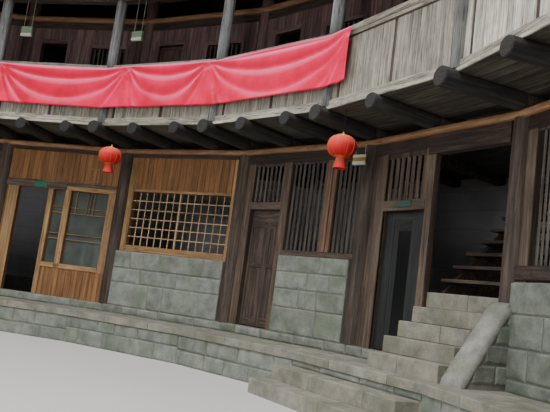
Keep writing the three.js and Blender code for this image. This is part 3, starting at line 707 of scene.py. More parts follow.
# The lantern silk's lighter colour is a painted highlight on its upper half, and its deep red is partly
# painted shade on its lower half.
SILK = cloth_material("lantern_silk", paint(224, 62, 54), paint(182, 24, 34), paint(242, 112, 90), 0.0, 1.0)
GOLD = plain_material("gilt_trim", paint(206, 160, 62), 0.4, 0.7)
DARK_PAINT = plain_material("dark_gloss_paint", paint(13, 13, 17), 0.25)
RIB = plain_material("rib_wire", paint(206, 112, 58), 0.6)
GREEN_PLATE = plain_material("green_plate", paint(24, 112, 84), 0.45)
# A darker copy of the green plate, as painted shade, for the plate in bay d.
SHADED_GREEN_PLATE = plain_material("painted_shade_green_plate", paint(18, 66, 50), 0.45)
SAGE_PLATE = plain_material("sage_plate", paint(122, 144, 112), 0.5)
WHITE_PLATE = plain_material("white_plate", paint(206, 208, 198), 0.5)
YELLOW_PLATE = plain_material("yellow_plate", paint(170, 138, 44), 0.5)


def carry_over():
    """Gives each kept node of the frame its material."""
    by_name = {
        "earth_wall": EARTH, "stone_": MORTAR, "terrace": MORTAR, "stair_pier": MORTAR,
        "gate_outer": FLAGS, "gate_inner": FLAGS, "courtyard_step": FLAGS,
        "gate_frame": wood("tan_wood", "up", 0.16),
        "timber_stair": wood("old_wood", "along"),
        "ground_frame": wood("old_wood", "up", 0.2),
        "boarding_a": wood("new_wood", "up", 0.125), "boarding_b": wood("new_wood", "up", 0.125),
        "boarding_": wood("old_wood", "up", 0.18),
        "door_leaf_c": wood("old_wood", "up", 0.14), "door_leaf_d": wood("casing_wood", "up", 0.14),
        "upper_floor": wood("soffit_wood", "along", 0.16), "upper_wall": wood("upper_wood", "up", 0.16),
        "gallery_posts": wood("pale_post", "up"), "parapet": wood("parapet_wood", "up", 0.21),
        "roof": PANS, "glass": GLASS, "banner": BANNER, "lantern": SILK,
    }
    for name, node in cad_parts.items():
        key = next(key for key in by_name if name.startswith(key))
        node.data.materials.clear()
        node.data.materials.append(by_name[key])


# Roof

TILES_IN_ROW = 15
TILE_LAP = 0.12
RIDGE_TILES = 6
RAFTER = corners(-0.032, 0.032, 0.005, -0.075)


def roof_under(radius):
    return RIDGE_UNDER - abs(radius - RIDGE) * ROOF_SLOPE


def side_scale(bay):
    """How much closer a side of the roof's polygon is than its corners, at a bay position."""
    return cos(HALF_SIDE) / cos((bay * 2 % 1 - 0.5) * STEP / 2)


def tile_row(shape, bay, low, high):
    """One row of lapped cover tiles from the eave up, each with five points at either end."""
    shape.stand(bay)
    scale = side_scale(bay)
    length = (high - low) / TILES_IN_ROW
    faces = [(i, i + 1, i + 6, i + 5) for i in range(4)] + [tuple(range(5))]
    for k in range(TILES_IN_ROW):
        start = low + length * k
        end = low + length * min(k + 1 + TILE_LAP, TILES_IN_ROW)
        shift = shape.uneven(-0.006, 0.006)
        points = []
        for radius, half, lift in ((start, 0.070, 0.016), (end, 0.058, -0.004)):
            top = roof_under(radius) + ROOF_THICK + lift
            for i in range(5):
                turn = pi * i / 4
                points.append(shape.place(shift + half * cos(turn), radius * scale, top + 0.058 * sin(turn)))
        shape.add(points, faces)


def roof_tiles():
    """Rows of cover tiles on both slopes; each slope has its ends and its rows in a bay."""
    slopes = {"inner": (EAVE - 0.02, RIDGE - 0.1, 11), "outer": (OUTER_EAVE + 0.02, RIDGE + 0.1, 15)}
    for slope, (low, high, rows) in slopes.items():
        for sector, first in SECTORS.items():
            shape = Shape(3)
            for i in range(SECTOR_BAYS * rows):
                tile_row(shape, first - 0.5 + (i + 0.5) / rows, low, high)
            shape.make(f"{slope}_roof_tiles_{sector}", [TILE], "roof_tile", smooth=0.9)


def ridge_tiles():
    shape = Shape(5)
    line = RIDGE * cos(HALF_SIDE)
    half = line * tan(HALF_SIDE)
    length = 2 * half / RIDGE_TILES
    top = roof_under(RIDGE) + ROOF_THICK + 0.08
    arc = [(0.15 * cos(pi * i / 6), 0.085 * sin(pi * i / 6)) for i in range(7)]
    for _ in walk([(side + 0.5) / 2 for side in range(ROUND_SIDES)], shape):
        for k in range(RIDGE_TILES):
            start = length * k - half
            shape.loft([
                [shape.place(x, line + y * grow, top + z * grow) for y, z in arc]
                for x, grow in ((start, 1.0), (start + length * 1.06, 0.92))
            ])
    shape.make("ridge_tiles", [TILE], "roof_tile", smooth=0.9)


def eave_boards():
    shape = Shape(6)
    for side in range(ROUND_SIDES):
        for radius, turned, way in ((EAVE, 0, 1), (OUTER_EAVE, OUTSIDE, -1)):
            shape.stand((side + 0.5) / 2 + turned)
            shape.front = way * radius * cos(HALF_SIDE)
            half = radius * sin(HALF_SIDE)
            under = roof_under(radius)
            shape.rail(-half, half, under - 0.02, under + ROOF_THICK - 0.03, 0.024)
    shape.make("eave_boards", woods("post_wood"))


def rafters():
    """The ends of the rafters under both eaves."""
    shape = Shape(7)
    for start, end, rows in ((EAVE + 0.01, WALL_LINE - 0.05, 10), (14.3, OUTER_EAVE - 0.01, 12)):
        for bay in walk([(i + 0.5) / rows for i in range(BAYS * rows)], shape):
            shape.loft([
                [shape.place(x, radius * side_scale(bay), roof_under(radius) + z) for x, z in RAFTER]
                for radius in (start, end)
            ])
    shape.make("rafters", [wood("post_wood", "out")])


# Timber storeys

def posts():
    """Round posts at the corners of the bays; one ground post stands on the stair's pier."""
    for name, seed, radius, ring, low, high, kind, slot in (
        ("ground_posts", 11, POST_RADIUS + 0.006, WALL_RING, SILL_TOP, RING_BEAM[0] + 0.01,
         "red_wood", "old_wood"),
        ("upper_posts", 12, UPPER_POST_RADIUS + 0.005, WALL_RING, FLOOR_TOP, UPPER_POST_TOP,
         "upper_wood", "old_wood"),
        ("gallery_post_logs", 13, GALLERY_POST_RADIUS + 0.004, GALLERY_RING, FLOOR_TOP, GALLERY_POST_TOP,
         "pale_post", "grey_wood"),
    ):
        shape = Shape(seed)
        for bay in range(BAYS):
            shape.stand(bay + 0.5)
            on_pier = name == "ground_posts" and bay == BAY_D
            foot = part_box("stair_pier")[1].z if on_pier else low
            stations = [foot + (high - foot) * k / 5 for k in range(6)]
            radii = [radius * shape.uneven(0.99, 1.03) for _ in stations]
            shape.log("z", (0, ring), radii, stations, 20)
        shape.make(name, [wood(kind, "up")], slot, smooth=0.8)


def joist_logs():
    """Round joists that carry the gallery, with their ends out in the courtyard."""
    logs = Shape(14)
    for bay in range(BAYS):
        spots = WIDE_JOIST_SPOTS if bay in (BAY_D, BAY_E) else JOIST_SPOTS
        for spot in (0.0,) + spots:
            logs.stand(bay - 0.5 + spot)
            half = 0.10 if spot else 0.11
            radius = half + 0.004
            centre = (0, RING_BEAM[1] + half)
            end = JOIST_END - logs.uneven(0, 0.05)
            logs.mark = 0
            logs.log("y", centre, [radius] * 2, [end + 0.012, WALL_LINE - 0.02], 18)
            # The ends of the joists between the posts, in bays before d, take the darker log ends as painted
            # shade.
            logs.mark = 2 if spot and bay < BAY_D else 1
            logs.log("y", centre, [radius * 0.9, radius], [end, end + 0.013], 18)
    # The joist logs take a darker wood as painted shade under the gallery.
    logs.make("gallery_joists", [wood("painted_shade_wood", "out"), LOG_END, SHADED_LOG_END], smooth=0.7)


def ring_beams():
    """The golden poles that run round the house on top of both timber walls."""
    shape = Shape(15)
    for _ in walk(range(BAYS), shape):
        for (low, high), front in ((RING_BEAM, WALL_LINE - 0.088), (UPPER_BEAM, WALL_LINE - 0.078)):
            half = half_side(front)
            radius = (high - low) / 2 + 0.004
            radii = [radius * shape.uneven(0.98, 1.04) for _ in range(4)]
            stations = [-half - 0.01, -half / 3, half / 3, half + 0.01]
            shape.log("x", (front, (low + high) / 2), radii, stations, 14)
    shape.make("ring_beam_poles", [wood("beam_wood", "along")], "new_wood", smooth=0.8)


def eave_plates():
    """The dark squared beams on the gallery posts, under the eave."""
    shape = Shape(17, GALLERY_LINE - 0.086)
    full = half_side(shape.front + 0.01)
    for _ in walk(range(BAYS), shape):
        shape.rail(-full, full, *EAVE_PLATE, 0, 0.172, 0.014)
    shape.make("eave_plate_beams", woods("red_wood"))


def headers():
    """Dark header boards under both ring beams, and the wooden window sills."""
    shape = Shape(16, WALL_FRONT)
    for bay in walk(range(BAYS), shape):
        bottom = NEW_HEADER_BOTTOM if bay in (BAY_A, BAY_B) else HEADER_BOTTOM
        shape.rail(-BOARD_HALF, BOARD_HALF, bottom, RING_BEAM[0], 0.028)
        shape.rail(-HALF_BAY, HALF_BAY, UPPER_BOARDS[1], UPPER_BEAM[0], 0.03)
        shape.rail(-HALF_BAY, HALF_BAY, FLOOR_TOP, UPPER_BOARDS[0], 0.022)
    shape.stand(BAY_E)
    shape.rail(-BOARD_HALF, BOARD_HALF, DADO_TOP + 0.025, WINDOW_E[2], 0.055, 0.07, 0.012)
    shape.make("header_boards", woods("header_wood"))


def plain_bays():
    """Ground bays that the photo doesn't show, in the way of the old bays that it does."""
    door_left, door_right, _, door_top = DOOR_C
    left, right, sill, top = PLAIN_WINDOW
    middle = (left + right) / 2
    for sector, bays, frames, sticks in sectors((20, OLD_FRONT), (30, BAR_LINE)):
        for bay in walk(bays, frames, sticks):
            if bay in SPECIAL_BAYS:
                continue
            frames.board(-BOARD_HALF, door_left, SILL_TOP, HEADER_BOTTOM)
            frames.board(door_right, left, SILL_TOP, HEADER_BOTTOM, 0.006)
            frames.rail(door_left, door_right, door_top, door_top + 0.11)
            frames.boards(door_left, door_right, door_top + 0.12, HEADER_BOTTOM, 0.13, -0.008)
            frames.rail(left, BOARD_HALF, HIGH_DADO_TOP + 0.005, sill)
            frames.board(right, BOARD_HALF, sill, HEADER_BOTTOM)
            for x in (middle - 0.05, middle + 0.05):
                frames.board(x - 0.032, x + 0.032, sill, HEADER_BOTTOM, 0, 0.07)
            sticks.bars((left, middle - 0.085, sill, top), 7)
            sticks.bars((middle + 0.085, right, sill, top), 7)
        frames.make(f"wall_frames_{sector}", woods("tan_wood"))
        sticks.make(f"window_bars_{sector}", [wood("bar_wood", "up")])


def upper_storey():
    """Boards, frames and bars of the upper rooms' wall, alike in all bays."""
    half = HALF_BAY - UPPER_POST_RADIUS
    holes = (UPPER_DOORWAY, UPPER_WINDOW)
    starts = ((40, WALL_FRONT), (50, WALL_FRONT), (60, WALL_LINE - 0.012))
    for sector, bays, panels, frames, sticks in sectors(*starts):
        for _ in walk(bays, panels, frames, sticks):
            panels.boards(-half, half, *UPPER_BOARDS, 0.17, 0.014, holes)
            frames.surround(UPPER_DOORWAY, 0.085, 0.034, 0.05, foot=False)
            frames.surround(UPPER_WINDOW, 0.06, 0.03, 0.05)
            sticks.bars(UPPER_WINDOW, 8, 0.015)
        panels.make(f"upper_boards_{sector}", woods("upper_wood"))
        frames.make(f"upper_frames_{sector}", woods("upper_wood"))
        sticks.make(f"upper_bars_{sector}", [wood("bar_wood", "up")])


def upper_leaf():
    """The shut brown leaf in one upper doorway."""
    leaf = Shape(61, WALL_LINE, BAY_B)
    x0, x1, z0, z1 = UPPER_DOORWAY
    leaf.boards(x0 + 0.01, x1 - 0.01, z0 + 0.02, z1 - 0.01, 0.14, -0.005)
    leaf.surround((x0 + 0.07, x1 - 0.07, z0 + 0.10, z1 - 0.07), 0.055, 0.008, 0.014)
    leaf.make("upper_leaf_b", woods("red_wood"))


# Open joints between the parapet's boards, across a bay
PARAPET_JOINTS = (-0.96, 0.09)
JOINT_HALF = 0.026

# Every so many bays, bay e among them, the parapet's boards are paler, as painted light.
PAINTED_LIGHT_EVERY = 5


def parapet():
    """Weathered boards of the gallery's parapet, with dark open joints, their rails, and a dark strip under
    the middle rail as painted shadow.
    """
    low, high = PARAPET_BOARDS
    half = GALLERY_HALF - GALLERY_POST_RADIUS + 0.01
    full = half_side(GALLERY_LINE - 0.03)
    open_joints = [(joint - JOINT_HALF, joint + JOINT_HALF) for joint in PARAPET_JOINTS]
    edges = [-half] + [edge for joint in open_joints for edge in joint] + [half]
    starts = [(seed, GALLERY_LINE) for seed in (70, 80, 85, 88)]
    for sector, bays, panels, rails, floor_edge, joints_and_shadow_strip in sectors(*starts):
        for bay in walk(bays, panels, rails, floor_edge, joints_and_shadow_strip):
            # Paler boards every so many bays, bay e among them, as painted light.
            panels.board_mark = int((bay - BAY_E) % PAINTED_LIGHT_EVERY == 0)
            for left, right in zip(edges[0::2], edges[1::2]):
                panels.boards(left, right, low - 0.01, high + 0.01, 0.21, 0.006, gap=0.003)
            for left, right in open_joints:
                joints_and_shadow_strip.board(left - 0.004, right + 0.004, low, high, -0.005, 0.004, 0.001)
            rails.rail(-full, full, HANDRAIL_TOP - 0.075, HANDRAIL_TOP + 0.012, 0.046, 0.11, 0.014)
            rails.rail(-full, full, high, HANDRAIL_TOP - 0.082, 0.030)
            rails.rail(-full, full, FLOOR_TOP + 0.003, low, 0.034)
            # A dark strip just under the middle rail, as painted shadow.
            joints_and_shadow_strip.rail(-full, full, high - 0.018, high + 0.004, 0.013, 0.006, 0.001)
            floor_edge.rail(-full, full, SOFFIT + 0.002, FLOOR_TOP - 0.003, 0.058, 0.03, 0.004)
        panels.make(f"parapet_boards_{sector}", [wood(kind, "up") for kind in PARAPET_WOODS], "grey_wood")
        rails.make(f"parapet_rails_{sector}", woods("parapet_wood"), "grey_wood")
        floor_edge.make(f"floor_edge_boards_{sector}", woods("edge_wood"), "grey_wood")
        joints_and_shadow_strip.make(f"parapet_joints_and_shadow_strip_{sector}", woods("old_wood"))


# Bays of the photo

NEW_BOARD = 0.125

# Heights of the thin bars in bay a's panes, and the upright ones in the larger pane
CASEMENT_BARS = (2.385, 2.272, 1.868, 1.766)
CASEMENT_STICKS = (0.350, 0.588, 0.655, 0.728)


def bay_a():
    small, large = PANES_A
    low, head = small[2] - 0.09, DOOR_A[3]
    side = small[1] + 0.02
    lintel_low, lintel_seam, lintel_top = 2.80, 2.838, 2.87
    panels = Shape(101, NEW_FRONT, BAY_A)
    panels.boards(-BOARD_HALF, BOARD_HALF, lintel_top, NEW_HEADER_BOTTOM, NEW_BOARD, -0.004)
    panels.boards(small[0], BOARD_HALF, SILL_TOP, low, NEW_BOARD, -0.004)
    panels.make("boards_a", woods("new_wood"), "new_wood")
    trim = Shape(102, NEW_FRONT, BAY_A)
    trim.board(-BOARD_HALF + 0.05, DOOR_A[0], SILL_TOP, head, 0, 0.06)
    trim.board(DOOR_A[1], small[0], SILL_TOP, head, 0.012, 0.06)
    trim.board(small[1], large[0], low, head, 0.012, 0.06)
    trim.board(large[1], BOARD_HALF, low, head + 0.03, 0.004, 0.06)
    trim.rail(side, BOARD_HALF, head, lintel_low, 0.012, 0.05)
    trim.rail(small[0], large[1], low, small[2], 0.012, 0.06)
    for left, right, _, _ in PANES_A:
        for z in CASEMENT_BARS:
            trim.rail(left, right, z, z + 0.014, -0.061, 0.02, 0.003)
    for x in CASEMENT_STICKS:
        trim.board(x, x + 0.013, CASEMENT_BARS[1], head, -0.057, 0.02, 0.003)
    trim.surround((0.478, 0.760, 2.93, 3.165), 0.024, 0.012, 0.02)
    trim.make("frame_a", woods("gold_wood"), "light_wood")
    lintel = Shape(103, NEW_FRONT, BAY_A)
    lintel.rail(-BOARD_HALF, side, head + 0.004, lintel_seam, 0.016, 0.04)
    lintel.rail(side, BOARD_HALF, lintel_low, lintel_top, 0.004)
    lintel.rail(-BOARD_HALF, side, lintel_seam, lintel_top, 0.004)
    lintel.make("lintel_a", woods("tan_wood"))
    plate("plate_a", BAY_A, (-0.575, -0.295, 2.730, 2.830), NEW_FRONT - 0.020, GREEN_PLATE)


def plate(name, bay, box, front, material):
    """A small bare plate with a raised rim, screwed flat on its lintel."""
    shape = Shape(9, front, bay)
    shape.loft([
        [shape.place(x, front + set_back, z) for x, z in corners(*box, inset)]
        for inset, set_back in ((0, 0.008), (0, 0), (0.006, -0.003), (0.009, -0.001))
    ])
    shape.make(name, [material], "sign_plate")


def bay_b():
    x0, x1, z0, z1 = LATTICE_B
    panels = Shape(111, NEW_FRONT, BAY_B)
    panels.boards(-BOARD_HALF, BOARD_HALF, z1 + 0.05, NEW_HEADER_BOTTOM, NEW_BOARD, -0.004)
    panels.make("boards_b", woods("new_wood"), "new_wood")
    trim = Shape(112, NEW_FRONT, BAY_B)
    trim.board(-BOARD_HALF + 0.02, x0, DADO_TOP, NEW_HEADER_BOTTOM, 0.008, 0.05)
    trim.board(x1, BOARD_HALF, DADO_TOP, NEW_HEADER_BOTTOM, 0.008, 0.05)
    trim.rail(x0, x1, z1, z1 + 0.05, 0.012, 0.05)
    trim.rail(x0, x1, DADO_TOP, z0, 0.012, 0.06)
    trim.make("frame_b", woods("gold_wood"), "light_wood")
    lattice = Shape(113, WALL_LINE, BAY_B)
    columns, rows = 14, 6
    for i in range(1, columns):
        x = x0 + (x1 - x0) * i / columns
        lattice.board(x - 0.008, x + 0.008, z0, z1, 0.022, 0.015, 0.003)
    for k in range(1, rows):
        z = z0 + (z1 - z0) * k / rows
        lattice.rail(x0, x1, z - 0.008, z + 0.008, 0.028, 0.015, 0.003)
    middle = (x0 + x1) / 2
    lattice.board(middle - 0.016, middle + 0.016, z0, z1, 0.034, 0.034, 0.004)
    lattice.make("lattice_b", woods("light_wood"), "light_wood")


def bay_c():
    window, narrow_window = WINDOWS_C
    left, sill = window[0], window[2]
    trim = Shape(121, OLD_FRONT, BAY_C)
    trim.board(-BOARD_HALF, DOOR_C[0], SILL_TOP, HEADER_BOTTOM, 0, 0.04)
    trim.board(DOOR_C[1], left, SILL_TOP, HEADER_BOTTOM, 0.010, 0.04)
    trim.rail(DOOR_C[0], DOOR_C[1], DOOR_C[3], TRANSOM_C[2], 0.004, 0.04)
    trim.rail(left, BOARD_HALF, HIGH_DADO_TOP + 0.005, sill, 0, 0.04)
    trim.make("frame_c", woods("tan_wood"))
    pair = Shape(122, OLD_FRONT, BAY_C)
    pair.board(window[1] + 0.004, window[1] + 0.11, sill, HEADER_BOTTOM, 0.006, 0.07)
    pair.board(narrow_window[0] - 0.076, narrow_window[0] - 0.006, sill, HEADER_BOTTOM, 0.006, 0.07)
    pair.make("mullions_c", woods("rust_wood"))
    sticks = Shape(123, BAR_LINE, BAY_C)
    for hole, count in ((TRANSOM_C, 7), (window, 8), (narrow_window, 5)):
        sticks.bars(hole, count, 0.024)
    sticks.make("bars_c", [wood("bar_wood", "up")])


def bay_d():
    left, right, _, top = DOOR_D
    passage = PASSAGE_D[0] - 0.004
    trim = Shape(131, OLD_FRONT, BAY_D)
    trim.board(-1.034, left, SILL_TOP, HEADER_BOTTOM, 0, 0.04)
    trim.board(right, passage, SILL_TOP, TRANSOM_D[2], 0.004, 0.04)
    trim.board(TRANSOM_D[1], passage, TRANSOM_D[2], HEADER_BOTTOM, 0.004, 0.04)
    trim.rail(left, right, top, TRANSOM_D[2], 0.006, 0.04)
    trim.make("frame_d", woods("tan_wood"))
    sticks = Shape(132, BAR_LINE, BAY_D)
    sticks.bars(TRANSOM_D, 7, 0.030)
    sticks.make("bars_d", [wood("tan_wood", "up")])
    header = Shape(133, OLD_FRONT, BAY_D)
    header.rail(-0.10, BOARD_HALF, PASSAGE_D[3] + 0.003, RING_BEAM[0], 0.03, 0.06)
    header.make("passage_header", woods("header_wood"))
    # Bay d's plate takes the darker copy of the green as painted shade.
    plate("plate_d", BAY_D, (-0.615, -0.350, 2.595, 2.685), OLD_FRONT - 0.014, SHADED_GREEN_PLATE)


def bay_e():
    x0, x1, z0, z1 = WINDOW_E
    trim = Shape(141, OLD_FRONT, BAY_E)
    trim.board(-BOARD_HALF, x0, DADO_TOP, HEADER_BOTTOM, 0, 0.04)
    trim.board(x1, BOARD_HALF, DADO_TOP, HEADER_BOTTOM, 0, 0.04)
    edges = [x0 + (x1 - x0) * k / 3 for k in range(4)]
    for x in edges[1:3]:
        trim.board(x - 0.045, x + 0.045, z0, HEADER_BOTTOM, 0, 0.07)
    trim.make("frame_e", woods("tan_wood"))
    sticks = Shape(142, BAR_LINE, BAY_E)
    for left, right in zip(edges, edges[1:]):
        sticks.bars((left + 0.05, right - 0.05, z0, z1), 8)
    sticks.make("bars_e", [wood("bar_wood", "up")])


def battens(shape, door):
    """Battens across the back of a leaf."""
    x0, x1, z0, z1 = door
    shape.front = LEAF_BACK
    for z in (z0 + 0.22, (z0 + z1) / 2, z1 - 0.30):
        shape.rail(x0 + 0.06, x1 - 0.03, z, z + 0.09, 0, 0.022)


def panelled_door():
    """The brown leaf: a plain head board over stiles, rails and four sunk panels."""
    shape = Shape(BAY_C, LEAF_FRONT, BAY_C)
    x0, x1 = DOOR_C[0] + 0.016, DOOR_C[1] - 0.014
    z0, z1 = DOOR_C[2] + 0.02, DOOR_C[3] - 0.014
    head, lock = 2.385, 1.715
    stile, muntin = 0.045, (-0.650, -0.560)
    shape.boards(x0, x1, z0, z1, 0.15, 0.006, gap=0.002, thick=0.006)
    shape.rail(x0, x1, head, z1, 0.012, 0.012)
    for left, right in ((x0, x0 + stile), muntin, (x1 - stile, x1)):
        shape.board(left, right, z0, head, 0.022, 0.018)
    for bottom, top in ((z0, z0 + 0.14), (lock - 0.075, lock), (head - 0.09, head - 0.004)):
        for left, right in ((x0 + stile, muntin[0]), (muntin[1], x1 - stile)):
            shape.rail(left, right, bottom, top, 0.020, 0.016)
    battens(shape, DOOR_C)
    shape.make("door_c_panels", woods("old_wood"), body="door_c")


def cased_door():
    """The green-grey leaf: a wide casing, an inner frame and a dark glossy panel."""
    x0, x1 = DOOR_D[0] + 0.016, DOOR_D[1] - 0.014
    z0, z1 = DOOR_D[2] + 0.02, DOOR_D[3] - 0.012
    casing = Shape(BAY_D, LEAF_FRONT, BAY_D)
    edge = 0.0
    for width, head, proud in ((0.168, 0.107, 0.022), (0.100, 0.154, 0.014)):
        left, right, top = x0 + edge, x1 - edge, z1 - edge * 0.6
        bottom = z0 + edge * 0.4
        casing.board(left, left + width, z0, top, proud, 0.014)
        casing.board(right - width, right, z0, top, proud, 0.014)
        casing.rail(left + width, right - width, top - head, top, proud - 0.002, 0.012)
        casing.rail(left + width, right - width, bottom, bottom + 0.12, proud - 0.002, 0.012)
        edge += width
    battens(casing, DOOR_D)
    casing.make("door_d_casing", woods("casing_wood"), body="door_d")
    panel = Shape(135, LEAF_FRONT, BAY_D)
    panel.rail(x0 + edge - 0.005, x1 - edge + 0.005, z0 + 0.15, z1 - 0.24, 0.005, 0.005, 0.002)
    panel.make("door_d_panel", [DARK_PAINT, DARK_PAINT], body="door_d")


# Masonry

WALK_SEAM = 9.36


def terrace_stones():
    """The stone edge of the raised floor, its long slabs and the flags of the walk behind them."""
    half, middle = half_side(TERRACE_LINE), half_side(WALK_SEAM)
    for sector, bays, stones, flags in sectors((90, TERRACE_LINE), (95, TERRACE_LINE)):
        for bay in walk(bays, stones, flags):
            low, courses = (0.36, 1) if bay in (GATE_BAY, BAY_D) else (0.0, 2)
            stones.masonry(-half, half, low, SLAB_BOTTOM, courses, 0.55)
            flags.slabs((-half, half), (TERRACE_LINE - 0.03, WALK_SEAM),
                        (SLAB_BOTTOM, TERRACE_TOP + 0.006), 0.95)
            flags.slabs((-middle, middle), (WALK_SEAM + 0.008, SILL_LINE + 0.005),
                        (TERRACE_TOP - 0.02, TERRACE_TOP + 0.005), 0.7)
        stones.make(f"terrace_stones_{sector}", [STONE], "stone")
        flags.make(f"walk_flags_{sector}", [FLAGS], "stone")


def sill_stones():
    """The low stone course under the timber wall, and the dado walls under its windows."""
    shape = Shape(151, SILL_LINE)
    half = half_side(SILL_LINE)
    for bay in walk(range(1, BAYS), shape):
        right = -0.006 if bay == BAY_D else half
        left = 1.45 - 2 * half if bay == BAY_E else -half
        shape.masonry(left, right, TERRACE_TOP + 0.004, SILL_TOP, 1, 0.6, 0.02)
        if bay in (BAY_B, BAY_E):
            shape.masonry(-BOARD_HALF, BOARD_HALF, SILL_TOP, DADO_TOP - 0.002, 3, 0.66)
        elif bay not in (BAY_A, BAY_D):
            shape.masonry(DOOR_C[1] + 0.155, BOARD_HALF, SILL_TOP, HIGH_DADO_TOP - 0.002, 4, 0.66)
    shape.make("sill_stones", [STONE], "stone")


def footing_stones():
    """The stone footing outside, left open at the gate, which lies where sides -1 and 0 meet."""
    line = FOOTING_RING * cos(HALF_SIDE)
    half = line * tan(HALF_SIDE)
    gate_edge = half - GATE_HALF
    for sector, first in SECTORS.items():
        shape = Shape(first + 99, -line)
        for side in range(2 * first - 1, 2 * (first + SECTOR_BAYS) - 1):
            shape.stand((side + 0.5) / 2 + OUTSIDE)
            left = -gate_edge if side == -1 else -half
            right = gate_edge if side == 0 else half
            shape.masonry(left, right, 0.0, FOOTING_TOP, 4, 0.46, 0.03)
        shape.make(f"footing_stones_{sector}", [STONE], "stone")


def steps():
    """Worn slabs in place of the plain treads."""
    for k in range(2):
        node = f"courtyard_step_{k + 1}"
        low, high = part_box(node)
        step = Shape(160 + k, bay=BAY_D)
        step.slabs((low.x, high.x), (low.y, high.y), (low.z, high.z), 0.8, 0.006)
        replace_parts(step.make(f"{node}_slabs", [FLAGS], "stone"), node)
    low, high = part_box("stone_stair")
    blocks = Shape(165, bay=BAY_D)
    count = 5
    rise = (high.z - low.z) / count
    run = (high.y - low.y) / count
    for k in range(count):
        top = low.z + rise * (k + 1)
        front = low.y + run * k - 0.012
        blocks.slabs((low.x, high.x), (front, high.y), (top - rise + 0.004, top), 0.7)
    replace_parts(blocks.make("stone_stair_blocks", [FLAGS], "stone"), "stone_stair")


def stair_cheek():
    """Stones on the stair's cheek wall, under a worn coping that slopes with it."""
    low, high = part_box("stair_pier")
    foot = low.z + PIER_FOOT
    place = bay_place(BAY_D)
    stones = Shape(166, -high.x)
    stones.place = lambda along, face, z: place(-face, along, z)
    courses = 4
    rise = (high.z - foot) / courses
    for k in range(courses):
        top = foot + rise * (k + 1)
        start = low.y + (PIER_FRONT - low.y) * (k + 1) / courses
        stones.masonry(start, high.y, top - rise, top - 0.01, 1, 0.3, 0.02)
    stones.make("cheek_stones", [STONE], "stone")
    coping = Shape(167)
    route = (
        (low.y - 0.012, low.z), (low.y - 0.012, foot), (low.y + 0.03, foot + 0.06),
        (PIER_FRONT - 0.03, high.z - 0.01), (PIER_FRONT + 0.04, high.z + 0.025),
        (SILL_LINE + 0.01, high.z + 0.025),
    )
    section = (
        (low.x - 0.006, 0.14), (high.x + 0.016, 0.14), (high.x + 0.022, 0.08), (high.x + 0.004, 0.025),
        (high.x - 0.05, 0.0), (low.x + 0.05, 0.0), (low.x + 0.006, 0.025), (low.x - 0.006, 0.08),
    )
    coping.loft([[place(x, y, z - drop) for x, drop in section] for y, z in route])
    coping.make("cheek_coping", [COPING], "stone", smooth=0.9)


def outer_windows():
    """The frames and bars of the small windows in the earth wall, behind every second bay."""
    frames = Shape(171, -OUTER_FRAME_LINE)
    sticks = Shape(172, -OUTER_BAR_LINE)
    for _ in walk([bay + OUTSIDE for bay in range(1, BAYS, 2)], frames, sticks):
        frames.surround(OUTER_PANE, 0.06, 0, 0.07)
        sticks.bars(OUTER_PANE, 5, 0.014)
    frames.make("outer_window_frames", woods("tan_wood"))
    sticks.make("outer_window_bars", [wood("bar_wood", "up")])


# Cloth and lanterns

BANNER_START = BAY_A - 0.45
BANNER_BAYS = 3.15
BANNER_HEIGHT = 0.755
BANNER_TOP = HANDRAIL_TOP - 0.042
BANNER_LINE = 8.905
TIES = (0.0, 1.16, 1.89, BANNER_BAYS)


def banner_point(along, down):
    """A point of the hanging band: along in bays from its left end, down in metres."""
    bay = BANNER_START + along
    centre = round(bay)
    x = tan((bay - centre) * STEP) * BANNER_LINE
    left = max([tie for tie in TIES if tie <= along], default=TIES[0])
    right = min([tie for tie in TIES if tie > along], default=TIES[-1])
    share = (along - left) / (right - left) if right > left else 0.0
    swag = 4 * share * (1 - share)
    bow = swag * max(0.0, right - left)
    sag = 0.018 * bow * (1 - 0.35 * down / BANNER_HEIGHT)
    depth = down / (0.50 * swag + 0.05)
    crease = 0.034 * swag ** 0.5 * sin(6.0 * depth ** 0.75 + left * 3) * exp(-depth / 3)
    for number, tie in enumerate(TIES):
        away = (along - tie) * 2 * GALLERY_HALF
        fan = exp(-(away / (0.12 + 0.55 * down)) ** 2) * min(1.0, down / 0.15)
        crease += 0.026 * fan * sin(atan2(away, down + 0.03) * 9 + number * 1.7)
    y = BANNER_LINE - 0.004 - abs(crease) - 0.01 * bow
    return bay_place(centre)(x, y, BANNER_TOP - down - sag)


def banner():
    shape = Shape(181)
    columns, rows = 260, 26
    shape.add(
        [banner_point(BANNER_BAYS * i / columns, BANNER_HEIGHT * k / rows)
         for i in range(columns + 1) for k in range(rows + 1)],
        [(a, a + 1, a + rows + 2, a + rows + 1)
         for i in range(columns) for a in range(i * (rows + 1), i * (rows + 1) + rows)],
    )
    cloth = shape.make("banner_band", [BANNER], "banner_cloth", smooth=1.2)
    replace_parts(cloth, "banner")
    thicken = cloth.modifiers.new("thickness", "SOLIDIFY")
    thicken.thickness = 0.0012


# Radii and heights of a lantern's parts, from its middle
LANTERN_MIDDLE = 3.275
SKIRT = (
    (0.050, -0.138), (0.064, -0.165), (0.077, -0.225), (0.089, -0.299), (0.085, -0.299), (0.046, -0.150),
)
CAPS = (
    ((0.098, 0.128), (0.102, 0.136), (0.098, 0.146), (0.060, 0.156), (0.020, 0.165), (0.010, 0.185)),
    ((0.098, -0.128), (0.102, -0.136), (0.090, -0.146), (0.052, -0.150), (0.048, -0.138)),
    ((0.010, 0.180), (0.016, 0.190), (0.010, 0.200)),
)
GLOBE_STEPS = 14
RIBS = 12


